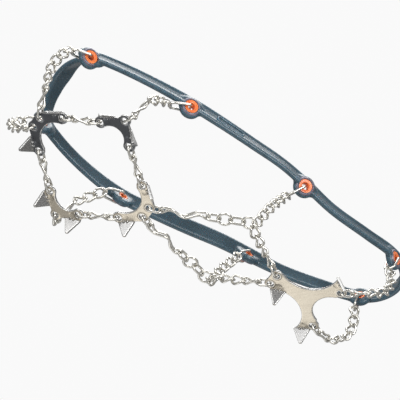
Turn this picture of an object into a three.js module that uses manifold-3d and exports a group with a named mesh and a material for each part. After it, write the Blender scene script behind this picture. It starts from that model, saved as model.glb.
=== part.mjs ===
// Shoe ice cleats: an elastic harness that grips a shoe, eight chains, and five
// toothed steel plates linked under the sole. Millimetres, +X to the toe, +Z up.
// The cleats are made as worn: the sole rests on the plates and the teeth point down.
import * as THREE from 'three';
import { ParametricGeometry } from 'three/addons/geometries/ParametricGeometry.js';
import { mergeVertices } from 'three/addons/utils/BufferGeometryUtils.js';
import Module from 'manifold-3d';

const wasm = await Module();
wasm.setup();

// ---- driving dimensions -------------------------------------------------------
const WIRE = 1.8; // wire diameter of rings, links and hooks
const FREE_PLAY = 1; // gap left where two loose pieces hang in each other
const WELD = 0.35; // how deep neighbouring links of one chain run bite
const LINK = { width: 5.5, sides: 4, steps: 8 }; // chain link, across its wire centre line
const OVAL = 0.7; // below 1, an oval's sides run straighter
const RING = { length: 9, width: 6.2, sides: 4, steps: 8 }; // ring in a plate's hole

const BAND = { thickness: 4.6, steps: 66, sides: 8, corner: 0.35 };
const TAB = { radius: 8, thickness: 4.6, segments: 12 };
const EYELET = { barrel: 3.5, bore: 2.5, flange: 4.7, flangeDepth: 0.5, segments: 10 };
const HOOK = { width: 5.8, taper: 0.15, squareness: 0.35, steps: 14, sides: 4 };
const FIT_GAP = 0.3; // gap round a pressed-in eyelet

const PLATE = { thickness: 2, hole: 2.3, rim: 4.3, holeSegments: 10, arcStep: 26 };
const TOOTH = { length: 12.5, base: 12, tip: 1.4, shoulder: 1.6, lean: 25 };

// Where each plate lies: its own origin, and its slope up to the toe, in degrees.
const TOE_PLATE = { at: [129.8, 0, 22.2], pitch: 18.6 };
const SIDE_PLATE = { at: [84.2, 38.1, 6.4], pitch: 16, roll: 3.5 };
const BALL_PLATE = { at: [36.9, 0, -3.8], pitch: 6 };
const HEEL_PLATE = { at: [0, 0, 0] };

// Holes and teeth in each plate's own plane. The crescent's x runs to its chain holes.
const CRESCENT = {
  chainHole: [0, 4.8],
  ringHole: [-12.7, 17.7],
  hollow: { centre: -20.5, radius: 14.5 },
  tooth: { at: [-6, 17.5], turn: 45 },
};
const SIDE = {
  ringHole: [12.6, 0],
  chainHole: [0, 14],
  hollow: { centre: -4, radius: 9 },
  tooth: { at: [12, 7.7], turn: 55 },
};
const HEEL = {
  frontHole: [-64.6, 4.4],
  rearHole: [-107.7, 19.2],
  waist: { centre: [-78, 27.2], radius: 21.8 },
  rearHollow: { centre: -113, radius: 14.4 },
  sideTooth: { at: [-72, -7.2], turn: -112 },
  rearTooth: { at: [-103.6, 27.2], turn: 126 },
};

// The middle of the harness band, one side, from the toe to the heel, with half its
// height and how far its outer face looks up, in degrees.
const BAND_STATIONS = [
  { at: [125, 0, 78], half: 6.5, tilt: 65 },
  { at: [124.5, 13, 76.5], half: 6.2, tilt: 55 },
  { at: [122, 26, 72.5], half: 5.8, tilt: 35 },
  { at: [116.5, 36.5, 68], half: 5.6, tilt: 14 },
  { at: [103, 42.5, 64.6], half: 5.4, tilt: 8 },
  { at: [76, 49, 60], half: 5.6, tilt: 6 },
  { at: [44, 52.2, 57], half: 6.4, tilt: 6 },
  { at: [18, 50.6, 57.4], half: 6.4, tilt: 8 },
  { at: [-8, 47.8, 58], half: 6.6, tilt: 12 },
  { at: [-34, 44.6, 58.6], half: 6.4, tilt: 12 },
  { at: [-56, 41, 56], half: 6.2, tilt: 8 },
  { at: [-80, 36.4, 52.6], half: 5.4, tilt: 6 },
  { at: [-112, 31, 54], half: 5.4, tilt: 6 },
  { at: [-137, 25.4, 56.4], half: 5.6, tilt: 4 },
  { at: [-151, 15.4, 58.6], half: 6.2, tilt: 0 },
  { at: [-156.5, 0, 60], half: 7, tilt: 0 },
];

// The eight eyelets: where each is in the band's outer face, which way that face looks,
// where the hook ends, and the chain's way from there to its plate's hole.
const CHAINS = {
  toe: {
    eyelet: [118.9, 39.1, 63], face: [0, 1, -0.3], hookEnd: [132.4, 40.6, 59.4],
    route: [[137, 38.6, 54.6], [140.4, 33, 46], [140, 29, 37.5], [136.8, 21, 29.5]],
    links: 6, plate: 'toe', hole: CRESCENT.chainHole,
  },
  ball: {
    eyelet: [43.8, 53.2, 52.9], face: [0, 1, -0.3], hookEnd: [58.2, 51.2, 47.6],
    route: [[66, 54, 41], [74, 56.6, 32]],
    links: 3, plate: 'side', hole: SIDE.chainHole,
  },
  arch: {
    eyelet: [-54.6, 42.5, 52.1], face: [0, 0.9, -0.46], hookEnd: [-46.2, 37, 41.4],
    route: [[-36.6, 36.8, 21]],
    links: 6,
  },
  heel: {
    eyelet: [-139.8, 24.7, 54.1], face: [-0.5, 0.86, 0], hookEnd: [-138, 26, 41.2],
    route: [[-140, 26.4, 27], [-135.6, 28, 11], [-124, 27.2, 3]],
    links: 6, plate: 'heel', hole: HEEL.rearHole,
  },
};
const ARCH_JOINT = [-26.5, 31.2, 1.6]; // the ring where the arch chains of one side meet
const ARCH_RING = { length: 9.8, width: 9.8, steps: 10, sides: 4, power: 1 };
const ARCH_LINKS = { toJoint: 11, toWave: 8.6, rear: 3, rearReach: 25.5 };
const WAVE = { height: 2.6, crests: 1.5, eye: 3.1, neck: 1.3, steps: 24, sides: 4 };
const TIE = { eye: 2.9, neck: 1.3, steps: 14, sides: 4 }; // a long link between two plates
const BAR = { eye: 2.7, neck: 1.2, steps: 10, sides: 4 }; // the long link at a chain's end

// ---- materials ----------------------------------------------------------------
const finishes = {
  rubber: { color: 0x33505f, roughness: 0.35, metalness: 0 },
  eyelet: { color: 0xf0702f, roughness: 0.4, metalness: 0 },
  wire: { color: 0xd6d5cf, roughness: 0.2, metalness: 1 },
  darkPlate: { color: 0x8b8f93, roughness: 0.35, metalness: 1 },
  palePlate: { color: 0xcfc8b8, roughness: 0.35, metalness: 1 },
};
const object = new THREE.Group();

function add(name, geometry, finish, mirrored = false) {
  const shape = mirrored ? mirror(geometry) : geometry;
  const mesh = new THREE.Mesh(shape, new THREE.MeshStandardMaterial(finishes[finish]));
  mesh.name = name;
  object.add(mesh);
}

// Adds a piece and its mirror image, one for each side of the shoe.
function addPair(name, geometry, finish) {
  add(`${name}_left`, geometry, finish);
  add(`${name}_right`, geometry, finish, true);
}

// ---- shape helpers --------------------------------------------------------------
function vec(values) {
  return new THREE.Vector3(...values);
}

function bare(geometry) {
  const plain = geometry.clone();
  plain.deleteAttribute('normal');
  plain.deleteAttribute('uv');
  return mergeVertices(plain, 1e-4);
}

// Turns the faces outwards when they point in.
function outward(geometry) {
  const { array } = geometry.attributes.position;
  const index = geometry.index.array;
  const corner = (i) => new THREE.Vector3().fromArray(array, index[i] * 3);
  let volume = 0;
  for (let i = 0; i < index.length; i += 3) {
    volume += corner(i).dot(corner(i + 1).cross(corner(i + 2)));
  }
  if (volume < 0) index.reverse();
  return geometry;
}

function mirror(geometry) {
  return outward(geometry.clone().scale(1, -1, 1));
}

function solid(geometry) {
  const closed = outward(bare(geometry));
  return new wasm.Manifold(new wasm.Mesh({
    numProp: 3,
    vertProperties: closed.attributes.position.array,
    triVerts: Uint32Array.from(closed.index.array),
  }));
}

function fromSolid(body) {
  const mesh = body.getMesh();
  const geometry = new THREE.BufferGeometry();
  geometry.setAttribute('position', new THREE.BufferAttribute(mesh.vertProperties, 3));
  geometry.setIndex(new THREE.BufferAttribute(mesh.triVerts, 1));
  return geometry;
}

function join(geometries) {
  return fromSolid(geometries.map(solid).reduce((whole, next) => whole.add(next)));
}

function cut(geometry, tools) {
  return fromSolid(tools.map(solid).reduce((left, tool) => left.subtract(tool), solid(geometry)));
}

// A wire of even thickness along a closed loop. point(t) gives its centre line for t
// from 0 to 1, and normal(t) is a direction that never runs along the wire.
function closedWire(point, normal, { steps, sides, diameter = WIRE }) {
  const step = 1e-3;
  const surface = (u, v, target) => {
    const t = u % 1;
    const along = point((t + step) % 1).sub(point((t + 1 - step) % 1)).normalize();
    const up = normal(t).clone().projectOnPlane(along).normalize();
    const out = new THREE.Vector3().crossVectors(along, up);
    const turn = (v % 1) * Math.PI * 2;
    target.copy(point(t));
    target.addScaledVector(up, Math.cos(turn) * diameter / 2);
    target.addScaledVector(out, Math.sin(turn) * diameter / 2);
  };
  return outward(bare(new ParametricGeometry(surface, steps, sides)));
}

// Raises to a power and keeps the sign: turns a circle into a squarer outline.
function bulge(value, power) {
  return Math.sign(value) * Math.abs(value) ** power;
}

// An oval ring: its long way along "along", its flat side facing "normal".
function oval(centre, along, normal, { length, width, steps, sides, power = OVAL }) {
  const across = new THREE.Vector3().crossVectors(normal, along).normalize();
  const point = (t) => centre.clone()
    .addScaledVector(along, Math.cos(t * 2 * Math.PI) * length / 2)
    .addScaledVector(across, bulge(Math.sin(t * 2 * Math.PI), power) * width / 2);
  return closedWire(point, () => normal, { steps, sides });
}

// A long slim link: two wires side by side along a path, opening to an eye at each end.
function slimLink(path, side, { eye, neck, steps, sides }) {
  const eyeShare = Math.min(0.5, 2.5 * eye / path.getLength());
  const halfWidth = (s) => {
    const fromEnd = Math.min(s, 1 - s) / eyeShare;
    if (fromEnd >= 1) return neck;
    return eye * Math.sin(Math.PI * fromEnd) ** 0.6 + neck * fromEnd ** 3;
  };
  const point = (t) => {
    const s = (1 - Math.cos(t * 2 * Math.PI)) / 2;
    const way = t < 0.5 ? 1 : -1;
    return path.getPointAt(s).addScaledVector(side, way * halfWidth(s));
  };
  const up = new THREE.Vector3().crossVectors(path.getTangentAt(0.5), side).normalize();
  return closedWire(point, () => up, { steps, sides });
}

// Links one after another along a path, each turned a quarter against the last. What
// is left between that and lastNormal is shared out as a twist along the run.
function linkRun(path, count, firstNormal, lastNormal) {
  const overlap = WIRE - WELD;
  const reach = path.getLength();
  const length = (reach + (count - 1) * overlap) / count;
  const places = Array.from({ length: count }, (_, i) => {
    const from = i * (length - overlap);
    const start = path.getPointAt(from / reach);
    const end = path.getPointAt(Math.min(1, (from + length) / reach));
    const along = end.clone().sub(start).normalize();
    const flat = firstNormal.clone().projectOnPlane(along).normalize();
    if (i % 2 === 1) flat.applyAxisAngle(along, Math.PI / 2);
    return { middle: start.add(end).multiplyScalar(0.5), along, flat };
  });
  const last = places.at(-1);
  const wanted = (lastNormal ?? last.flat).clone().projectOnPlane(last.along).normalize();
  if (wanted.dot(last.flat) < 0) wanted.negate();
  const sine = new THREE.Vector3().crossVectors(last.flat, wanted).dot(last.along);
  const twist = Math.atan2(sine, wanted.dot(last.flat));
  return places.map(({ middle, along, flat }, i) => {
    flat.applyAxisAngle(along, twist * i / Math.max(1, count - 1));
    return oval(middle, along, flat, { ...LINK, length });
  });
}

// ---- plates -----------------------------------------------------------------------
// The plate's own axes: x and y in its top face, z up through it.
function placement({ at, pitch = 0, roll = 0 }) {
  const turn = new THREE.Euler(
    THREE.MathUtils.degToRad(roll),
    THREE.MathUtils.degToRad(-pitch),
    0,
    'YXZ',
  );
  return new THREE.Matrix4().makeRotationFromEuler(turn).setPosition(...at);
}

// The ends of a tooth's bend line, in the plate's plane.
function bendLine({ at, turn }) {
  const along = THREE.MathUtils.degToRad(turn + 90);
  const half = TOOTH.base / 2;
  return [-half, half].map((s) => new THREE.Vector2(
    at[0] + Math.cos(along) * s,
    at[1] + Math.sin(along) * s,
  ));
}

// A tooth: a triangle of the same sheet, bent down at the plate's edge.
function tooth({ at, turn }) {
  const half = TOOTH.base / 2;
  const outline = new THREE.Shape([
    new THREE.Vector2(-half, 0),
    new THREE.Vector2(half, 0),
    new THREE.Vector2(half, TOOTH.shoulder),
    new THREE.Vector2(TOOTH.tip / 2, TOOTH.length),
    new THREE.Vector2(-TOOTH.tip / 2, TOOTH.length),
    new THREE.Vector2(-half, TOOTH.shoulder),
  ]);
  const depth = PLATE.thickness;
  const geometry = new THREE.ExtrudeGeometry(outline, { depth, bevelEnabled: false });
  geometry.translate(0, 0, -depth);
  const heading = THREE.MathUtils.degToRad(turn);
  const lean = THREE.MathUtils.degToRad(TOOTH.lean);
  const out = new THREE.Vector3(Math.cos(heading), Math.sin(heading), 0);
  const up = new THREE.Vector3(0, 0, 1);
  const down = out.clone().multiplyScalar(Math.sin(lean)).addScaledVector(up, -Math.cos(lean));
  const face = out.clone().multiplyScalar(Math.cos(lean)).addScaledVector(up, Math.sin(lean));
  const edge = new THREE.Vector3().crossVectors(down, face);
  const frame = new THREE.Matrix4().makeBasis(edge, down, face);
  return geometry.applyMatrix4(frame.setPosition(at[0], at[1], 0));
}

// Sheet with the given outline, from z = -thickness to 0, its teeth and its holes.
function stamping(points, teeth, holes) {
  const depth = PLATE.thickness;
  const flat = new THREE.ExtrudeGeometry(new THREE.Shape(points), { depth, bevelEnabled: false });
  flat.translate(0, 0, -depth);
  const drills = holes.map(([x, y]) => {
    const drill = new THREE.CylinderGeometry(
      PLATE.hole, PLATE.hole, depth * 4, PLATE.holeSegments,
    );
    return drill.rotateX(Math.PI / 2).translate(x, y, 0);
  });
  return cut(join([flat, ...teeth.map(tooth)]), drills);
}

// Points round a circle from one bearing to another, in degrees.
function arc(x, y, radius, from, to) {
  const count = Math.max(2, Math.ceil(Math.abs(to - from) / PLATE.arcStep));
  return Array.from({ length: count + 1 }, (_, i) => {
    const angle = THREE.MathUtils.degToRad(from + (to - from) * i / count);
    return new THREE.Vector2(x + Math.cos(angle) * radius, y + Math.sin(angle) * radius);
  });
}

// Closes half an outline with its mirror image across the x axis or the y axis.
function mirrored(points, across) {
  const flip = across === 'x' ? new THREE.Vector2(1, -1) : new THREE.Vector2(-1, 1);
  const other = points.map((p) => p.clone().multiply(flip)).reverse();
  return [...points, ...other];
}

function bothSides([x, y]) {
  return [[x, y], [x, -y]];
}

function crescentPlate() {
  const { chainHole, ringHole, hollow } = CRESCENT;
  const [near, far] = bendLine(CRESCENT.tooth);
  const half = [
    ...arc(...chainHole, PLATE.rim, -30, 60),
    near,
    far,
    ...arc(...ringHole, PLATE.rim, 60, 245),
    ...arc(hollow.centre, 0, hollow.radius, 72, 8),
  ];
  const holes = [...bothSides(chainHole), ...bothSides(ringHole)];
  const { at, turn } = CRESCENT.tooth;
  const otherTooth = { at: [at[0], -at[1]], turn: -turn };
  return stamping(mirrored(half, 'x'), [CRESCENT.tooth, otherTooth], holes);
}

function sidePlate() {
  const { chainHole, ringHole, hollow } = SIDE;
  const [lower, upper] = bendLine(SIDE.tooth);
  const half = [
    ...arc(...chainHole, PLATE.rim, 80, -10),
    upper,
    lower,
    ...arc(...ringHole, PLATE.rim, 40, -162),
    ...arc(0, hollow.centre, hollow.radius, 18, 84),
  ];
  const holes = [chainHole, ringHole, [-ringHole[0], ringHole[1]]];
  const { at, turn } = SIDE.tooth;
  const otherTooth = { at: [-at[0], at[1]], turn: 180 - turn };
  return stamping(mirrored(half, 'y'), [SIDE.tooth, otherTooth], holes);
}

function heelPlate() {
  const { frontHole, rearHole, waist, rearHollow, sideTooth, rearTooth } = HEEL;
  const [inner, outer] = bendLine(rearTooth);
  const half = [
    ...arc(...frontHole, PLATE.rim, -30, 100),
    ...arc(...waist.centre, waist.radius, -62, -183),
    ...(inner.x > outer.x ? [inner, outer] : [outer, inner]),
    ...arc(...rearHole, PLATE.rim, 110, 262),
    ...arc(rearHollow.centre, 0, rearHollow.radius, 68, 6),
  ];
  const holes = [...bothSides(frontHole), ...bothSides(rearHole)];
  const { at, turn } = rearTooth;
  const otherTooth = { at: [at[0], -at[1]], turn: -turn };
  return stamping(mirrored(half, 'x'), [sideTooth, rearTooth, otherTooth], holes);
}

const places = {
  toe: placement(TOE_PLATE),
  side: placement(SIDE_PLATE),
  ball: placement(BALL_PLATE).multiply(new THREE.Matrix4().makeRotationZ(Math.PI)),
  heel: placement(HEEL_PLATE),
};

// A hole's centre, half way through the sheet, and the sheet's upward normal there.
function holeCentre(plate, [x, y]) {
  return new THREE.Vector3(x, y, -PLATE.thickness / 2).applyMatrix4(places[plate]);
}

function plateNormal(plate) {
  return new THREE.Vector3(0, 0, 1).transformDirection(places[plate]);
}

function addPlates() {
  add('toe_plate', crescentPlate().applyMatrix4(places.toe), 'darkPlate');
  const side = sidePlate().applyMatrix4(places.side);
  add('ball_plate_left', side, 'darkPlate');
  add('ball_plate_right', side, 'palePlate', true);
  add('midfoot_plate', crescentPlate().applyMatrix4(places.ball), 'palePlate');
  add('heel_plate', heelPlate().applyMatrix4(places.heel), 'palePlate');
}

// ---- harness ----------------------------------------------------------------------
// Which way the band's outer face looks at an eyelet: square to the hook's pull.
function eyeletFrame({ eyelet, face, hookEnd }) {
  const centre = vec(eyelet);
  const pull = vec(hookEnd).sub(centre);
  const reach = pull.length();
  pull.normalize();
  const out = vec(face).projectOnPlane(pull).normalize();
  const side = new THREE.Vector3().crossVectors(out, pull);
  const middle = centre.clone().addScaledVector(out, -TAB.thickness / 2);
  return { middle, out, pull, side, reach };
}

function bandLoop() {
  const right = BAND_STATIONS.slice(1, -1).reverse();
  const stations = [
    ...BAND_STATIONS,
    ...right.map(({ at, half, tilt }) => ({ at: [at[0], -at[1], at[2]], half, tilt })),
  ];
  const line = new THREE.CatmullRomCurve3(stations.map(({ at }) => vec(at)), true, 'centripetal');
  const count = stations.length;
  const blend = (u, key) => {
    const place = (u % 1) * count;
    const from = Math.floor(place) % count;
    const share = place - Math.floor(place);
    return THREE.MathUtils.lerp(stations[from][key], stations[(from + 1) % count][key], share);
  };
  const surface = (u, v, target) => {
    const t = u % 1;
    const along = line.getTangent(t);
    const level = new THREE.Vector3(along.y, -along.x, 0).normalize();
    const tilt = THREE.MathUtils.degToRad(blend(t, 'tilt'));
    const out = level.multiplyScalar(Math.cos(tilt)).setZ(Math.sin(tilt));
    out.projectOnPlane(along).normalize();
    const up = new THREE.Vector3().crossVectors(along, out).normalize();
    if (up.z < 0) up.negate();
    const turn = ((v % 1) + 0.5 / BAND.sides) * Math.PI * 2;
    target.copy(line.getPoint(t));
    target.addScaledVector(up, bulge(Math.sin(turn), BAND.corner) * blend(t, 'half'));
    target.addScaledVector(out, bulge(Math.cos(turn), BAND.corner) * BAND.thickness / 2);
  };
  return bare(new ParametricGeometry(surface, BAND.steps, BAND.sides));
}

// A round piece on an eyelet's axis, between two heights above the tab's middle.
function onEyeletAxis(chain, geometry) {
  const { middle, out, pull, side } = eyeletFrame(chain);
  const frame = new THREE.Matrix4().makeBasis(side, out, pull);
  return outward(bare(geometry)).applyMatrix4(frame.setPosition(middle));
}

function disc(chain, radius, low, high, segments) {
  const geometry = new THREE.CylinderGeometry(radius, radius, high - low, segments);
  return onEyeletAxis(chain, geometry.translate(0, (high + low) / 2, 0));
}

// The tab round one eyelet, of the band's own thickness.
function tab(chain) {
  const half = TAB.thickness / 2;
  return disc(chain, TAB.radius, -half, half, TAB.segments);
}

// The hole for an eyelet's barrel, and the flat seat for its flange.
function tabBore(chain) {
  const far = TAB.thickness * 1.5;
  return disc(chain, EYELET.barrel + FIT_GAP, -far, far, EYELET.segments);
}

function tabSeat(chain) {
  const face = TAB.thickness / 2;
  return disc(chain, EYELET.flange + 2 * FIT_GAP, face, face * 3, EYELET.segments);
}

function addHarness() {
  const chains = Object.values(CHAINS);
  const both = (make) => chains.flatMap((chain) => [make(chain), mirror(make(chain))]);
  const body = join([bandLoop(), ...both(tab)]);
  add('harness', cut(body, [...both(tabBore), ...both(tabSeat)]), 'rubber');
}

// An eyelet: a flanged plastic bush through the tab.
function eyelet(chain) {
  const half = TAB.thickness / 2;
  const face = half + FIT_GAP;
  const profile = [
    [EYELET.bore, -half],
    [EYELET.barrel, -half],
    [EYELET.barrel, face],
    [EYELET.flange, face],
    [EYELET.flange, face + EYELET.flangeDepth],
    [EYELET.bore, face + EYELET.flangeDepth],
    [EYELET.bore, -half],
  ].map(([radius, height]) => new THREE.Vector2(radius, height));
  return onEyeletAxis(chain, new THREE.LatheGeometry(profile, EYELET.segments));
}

// A hook: a closed wire loop through the eyelet that straddles the tab.
function hook(chain) {
  const { middle, out, pull, side, reach } = eyeletFrame(chain);
  const point = (t) => {
    const turn = t * Math.PI * 2;
    const distance = reach * (1 - Math.cos(turn)) / 2;
    const spread = HOOK.width * (1 - HOOK.taper * distance / reach);
    const swell = bulge(Math.sin(turn), HOOK.squareness);
    return middle.clone().addScaledVector(pull, distance).addScaledVector(out, swell * spread);
  };
  return closedWire(point, () => side, { steps: HOOK.steps, sides: HOOK.sides });
}

// ---- chains -----------------------------------------------------------------------
function ringInHole(plate, hole, towards) {
  const centre = holeCentre(plate, hole);
  const along = towards.clone().sub(centre).projectOnPlane(plateNormal(plate)).normalize();
  const normal = new THREE.Vector3().crossVectors(along, plateNormal(plate)).normalize();
  const middle = centre.clone().addScaledVector(along, RING.length / 2);
  const end = centre.clone().addScaledVector(along, RING.length);
  return { geometry: oval(middle, along, normal, RING), end, along, normal };
}

// The point inside a loop's end where the next piece's wire hangs.
function hangPoint(end, along, gap = FREE_PLAY) {
  return end.clone().addScaledVector(along, -(WIRE + gap));
}

function chainRun(chain) {
  const { middle, out, pull, reach } = eyeletFrame(chain);
  const hookEnd = middle.addScaledVector(pull, reach);
  const way = chain.route.map(vec);
  const start = hangPoint(hookEnd, way[0].clone().sub(hookEnd).normalize());
  if (!chain.plate) {
    const ring = archJoint();
    const path = new THREE.CatmullRomCurve3([start, ...way, ring.outer]);
    return join(linkRun(path, chain.links, out, ring.outerTangent));
  }
  const ring = ringInHole(chain.plate, chain.hole, way.at(-1));
  const path = new THREE.CatmullRomCurve3([start, ...way]);
  const bar = endBar(way.at(-1), ring);
  return join([...linkRun(path, chain.links, out), bar, ring.geometry]);
}

// The long link between a chain's last link and the ring in a plate's hole.
function endBar(from, ring) {
  const to = ring.end.clone().addScaledVector(ring.along, WELD - WIRE);
  const back = from.clone().sub(to).normalize();
  const path = new THREE.LineCurve3(from.clone().addScaledVector(back, WIRE - WELD), to);
  return slimLink(path, ring.normal, BAR);
}

// The joint ring of one side lies flat under the arch. Each chain hangs in it from its
// own side: outer from the harness, front from the midfoot plate, rear from the heel.
function archJoint() {
  const centre = vec(ARCH_JOINT);
  const reach = ARCH_RING.length / 2 - WIRE - FREE_PLAY;
  const up = new THREE.Vector3(0, 0, 1);
  const heading = (target) => vec(target).sub(centre).projectOnPlane(up).normalize();
  const hang = (along) => centre.clone().addScaledVector(along, reach);
  const outerWay = heading(CHAINS.arch.route.at(-1));
  const outerWire = centre.clone().addScaledVector(outerWay, ARCH_RING.length / 2);
  const pull = vec(CHAINS.arch.route.at(-1)).sub(outerWire).normalize();
  const frontWay = heading(holeCentre('ball', [0, -CRESCENT.chainHole[1]]).toArray());
  const rearWay = heading([...HEEL.frontHole, 0]);
  return {
    centre,
    frontWay,
    geometry: oval(centre, frontWay, up, ARCH_RING),
    outer: hangPoint(outerWire, pull),
    outerTangent: new THREE.Vector3().crossVectors(up, outerWay),
    front: hang(frontWay),
    rear: hang(rearWay),
    rearTangent: new THREE.Vector3().crossVectors(up, rearWay),
  };
}

class Wave extends THREE.Curve {
  constructor(start, end, side) {
    super();
    Object.assign(this, { start, end, side });
  }

  getPoint(t, target = new THREE.Vector3()) {
    const swing = Math.sin(t * Math.PI * 2 * WAVE.crests) * Math.sin(t * Math.PI) ** 0.5;
    return target.lerpVectors(this.start, this.end, t)
      .addScaledVector(this.side, WAVE.height * swing);
  }
}

// From the joint ring forwards: a link, a round ring, a link, the wavy link, and the ring
// in the midfoot plate.
function addArchFront() {
  const up = new THREE.Vector3(0, 0, 1);
  const joint = archJoint();
  const plateRing = ringInHole('ball', [0, -CRESCENT.chainHole[1]], joint.centre);
  const waveEnd = hangPoint(plateRing.end, plateRing.along);
  const along = waveEnd.clone().sub(joint.front).normalize();
  const side = new THREE.Vector3().crossVectors(up, along).normalize();
  const flat = new THREE.Vector3().crossVectors(along, side);
  const overlap = WIRE + FREE_PLAY;
  let from = 0;
  const next = (length) => {
    const middle = joint.front.clone().addScaledVector(along, from + length / 2);
    from += length - overlap;
    return middle;
  };
  const upright = (length) => {
    const size = { ...LINK, sides: RING.sides, length };
    return oval(next(length), along, side, size);
  };
  addPair('arch_joint_link', upright(ARCH_LINKS.toJoint), 'wire');
  addPair('arch_ring', oval(next(ARCH_RING.length), along, flat, ARCH_RING), 'wire');
  addPair('arch_wave_link', upright(ARCH_LINKS.toWave), 'wire');
  const waveStart = joint.front.clone().addScaledVector(along, from);
  addPair('arch_wave', slimLink(new Wave(waveStart, waveEnd, side), side, WAVE), 'wire');
  addPair('midfoot_ring', plateRing.geometry, 'wire');
}

// From the joint ring back to the heel plate.
function addArchRear() {
  const joint = archJoint();
  addPair('arch_joint', joint.geometry, 'wire');
  const ring = ringInHole('heel', HEEL.frontHole, joint.rear);
  const back = ring.end.clone().sub(joint.rear).normalize();
  const barStart = joint.rear.clone().addScaledVector(back, ARCH_LINKS.rearReach);
  const path = new THREE.LineCurve3(joint.rear, barStart);
  const links = linkRun(path, ARCH_LINKS.rear, joint.rearTangent);
  addPair('arch_heel_chain', join([...links, endBar(barStart, ring), ring.geometry]), 'wire');
}

// Two rings and a long link between them tie the side plate to the plates beside it.
function addTies() {
  const [x, y] = CRESCENT.ringHole;
  const ties = {
    front: ['toe', [x, y], 'side', SIDE.ringHole],
    rear: ['ball', [x, -y], 'side', [-SIDE.ringHole[0], SIDE.ringHole[1]]],
  };
  for (const [name, [plate, hole, sidePlateName, sideHole]] of Object.entries(ties)) {
    const first = ringInHole(plate, hole, holeCentre(sidePlateName, sideHole));
    const second = ringInHole(sidePlateName, sideHole, holeCentre(plate, hole));
    const path = new THREE.LineCurve3(
      hangPoint(first.end, first.along),
      hangPoint(second.end, second.along),
    );
    addPair(`${name}_tie`, slimLink(path, first.normal, TIE), 'wire');
    addPair(`${name}_tie_inner_ring`, first.geometry, 'wire');
    addPair(`${name}_tie_outer_ring`, second.geometry, 'wire');
  }
}

// ---- the whole object -------------------------------------------------------------
addHarness();
for (const [name, chain] of Object.entries(CHAINS)) {
  addPair(`${name}_eyelet`, eyelet(chain), 'eyelet');
  addPair(`${name}_hook`, hook(chain), 'wire');
  addPair(`${name}_chain`, chainRun(chain), 'wire');
}
addPlates();
addTies();
addArchFront();
addArchRear();

export default object;
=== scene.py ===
"""Shoe ice cleats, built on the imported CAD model.

An elastic harness with eight eyelets carries eight hooks and chains, which hold five
toothed steel plates under the sole of a shoe. The CAD model gives the bodies and the
joints. This script builds the finished pieces: the moulded harness, every link as its
own loop of wire, the stamped plates with their bent teeth, and the studio round them.

Sizes are in millimetres in the CAD model's frame: +X to the toe, +Y to the shoe's left,
+Z up. Shapes are scaled to metres when a piece is made.
"""
from __future__ import annotations

import logging
import math
from collections.abc import Callable, Iterable, Sequence
from dataclasses import dataclass, field
from enum import Enum
from typing import TypeVar

import bmesh
import bpy
from mathutils import Matrix, Vector

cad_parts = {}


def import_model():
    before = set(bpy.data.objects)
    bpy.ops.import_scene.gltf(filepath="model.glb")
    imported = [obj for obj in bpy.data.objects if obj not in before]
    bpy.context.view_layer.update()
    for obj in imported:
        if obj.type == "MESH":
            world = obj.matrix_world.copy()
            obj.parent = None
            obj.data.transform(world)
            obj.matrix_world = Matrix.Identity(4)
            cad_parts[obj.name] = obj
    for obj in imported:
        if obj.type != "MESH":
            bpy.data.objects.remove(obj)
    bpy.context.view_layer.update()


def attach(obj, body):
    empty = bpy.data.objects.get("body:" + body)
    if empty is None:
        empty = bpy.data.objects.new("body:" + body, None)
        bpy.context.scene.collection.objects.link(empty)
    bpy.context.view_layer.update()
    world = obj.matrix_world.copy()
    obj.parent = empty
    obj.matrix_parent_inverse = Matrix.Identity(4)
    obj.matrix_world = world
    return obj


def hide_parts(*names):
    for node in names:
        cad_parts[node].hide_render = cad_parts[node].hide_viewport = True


LOG = logging.getLogger("ice_cleats")
MILLIMETRE = 0.001
WIRE = 1.8  # diameter of the wire of every link, ring and hook
TOUCH = 0.05  # gap left between two wires that hang in each other
LINK_WIDTH = 6.3  # between the strands of a twisted link, at its eyes
BAR = {"width": 4.4, "waist": 2.3, "count": 56}  # the long slim link at a chain's end
TIE = {"width": 4.6, "waist": 2.3, "count": 64}
WAVE = {"width": 4.6, "waist": 2.4, "count": 96}
HOOK = {"width": 7.2, "start_width": 10.4, "start_round": 2.4, "count": 56}
UP = Vector((0, 0, 1))
Measure = TypeVar("Measure", float, Vector)


# ---- names of things -----------------------------------------------------------------
class Side(Enum):
    """A side of the shoe."""

    LEFT = "left"
    RIGHT = "right"

    def place(self, point: Vector) -> Vector:
        """Return a left-hand point as it lies on this side."""
        return point.copy() if self is Side.LEFT else Vector((point.x, -point.y, point.z))

    def mirror(self) -> Matrix:
        """Return the matrix that takes left-hand shapes to this side."""
        return Matrix.Scale(1 if self is Side.LEFT else -1, 4, Vector((0, 1, 0)))

    def name(self, piece: str) -> str:
        """Return a piece's name with this side's ending."""
        return f"{piece}_{self.value}"


# ---- setters -----------------------------------------------------------------------------
def preset(node: bpy.types.Node, **values: float | tuple[float, ...]) -> bpy.types.Node:
    """Set a node's inputs, with underscores for spaces in their names. Returns the node."""
    for label, value in values.items():
        node.inputs[label.replace("_", " ")].default_value = value
    return node


def placed(name: str, data: bpy.types.ID) -> bpy.types.Object:
    """Return a new object that shows some data in the scene."""
    item = bpy.data.objects.new(name, data)
    bpy.context.scene.collection.objects.link(item)
    return item


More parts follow.
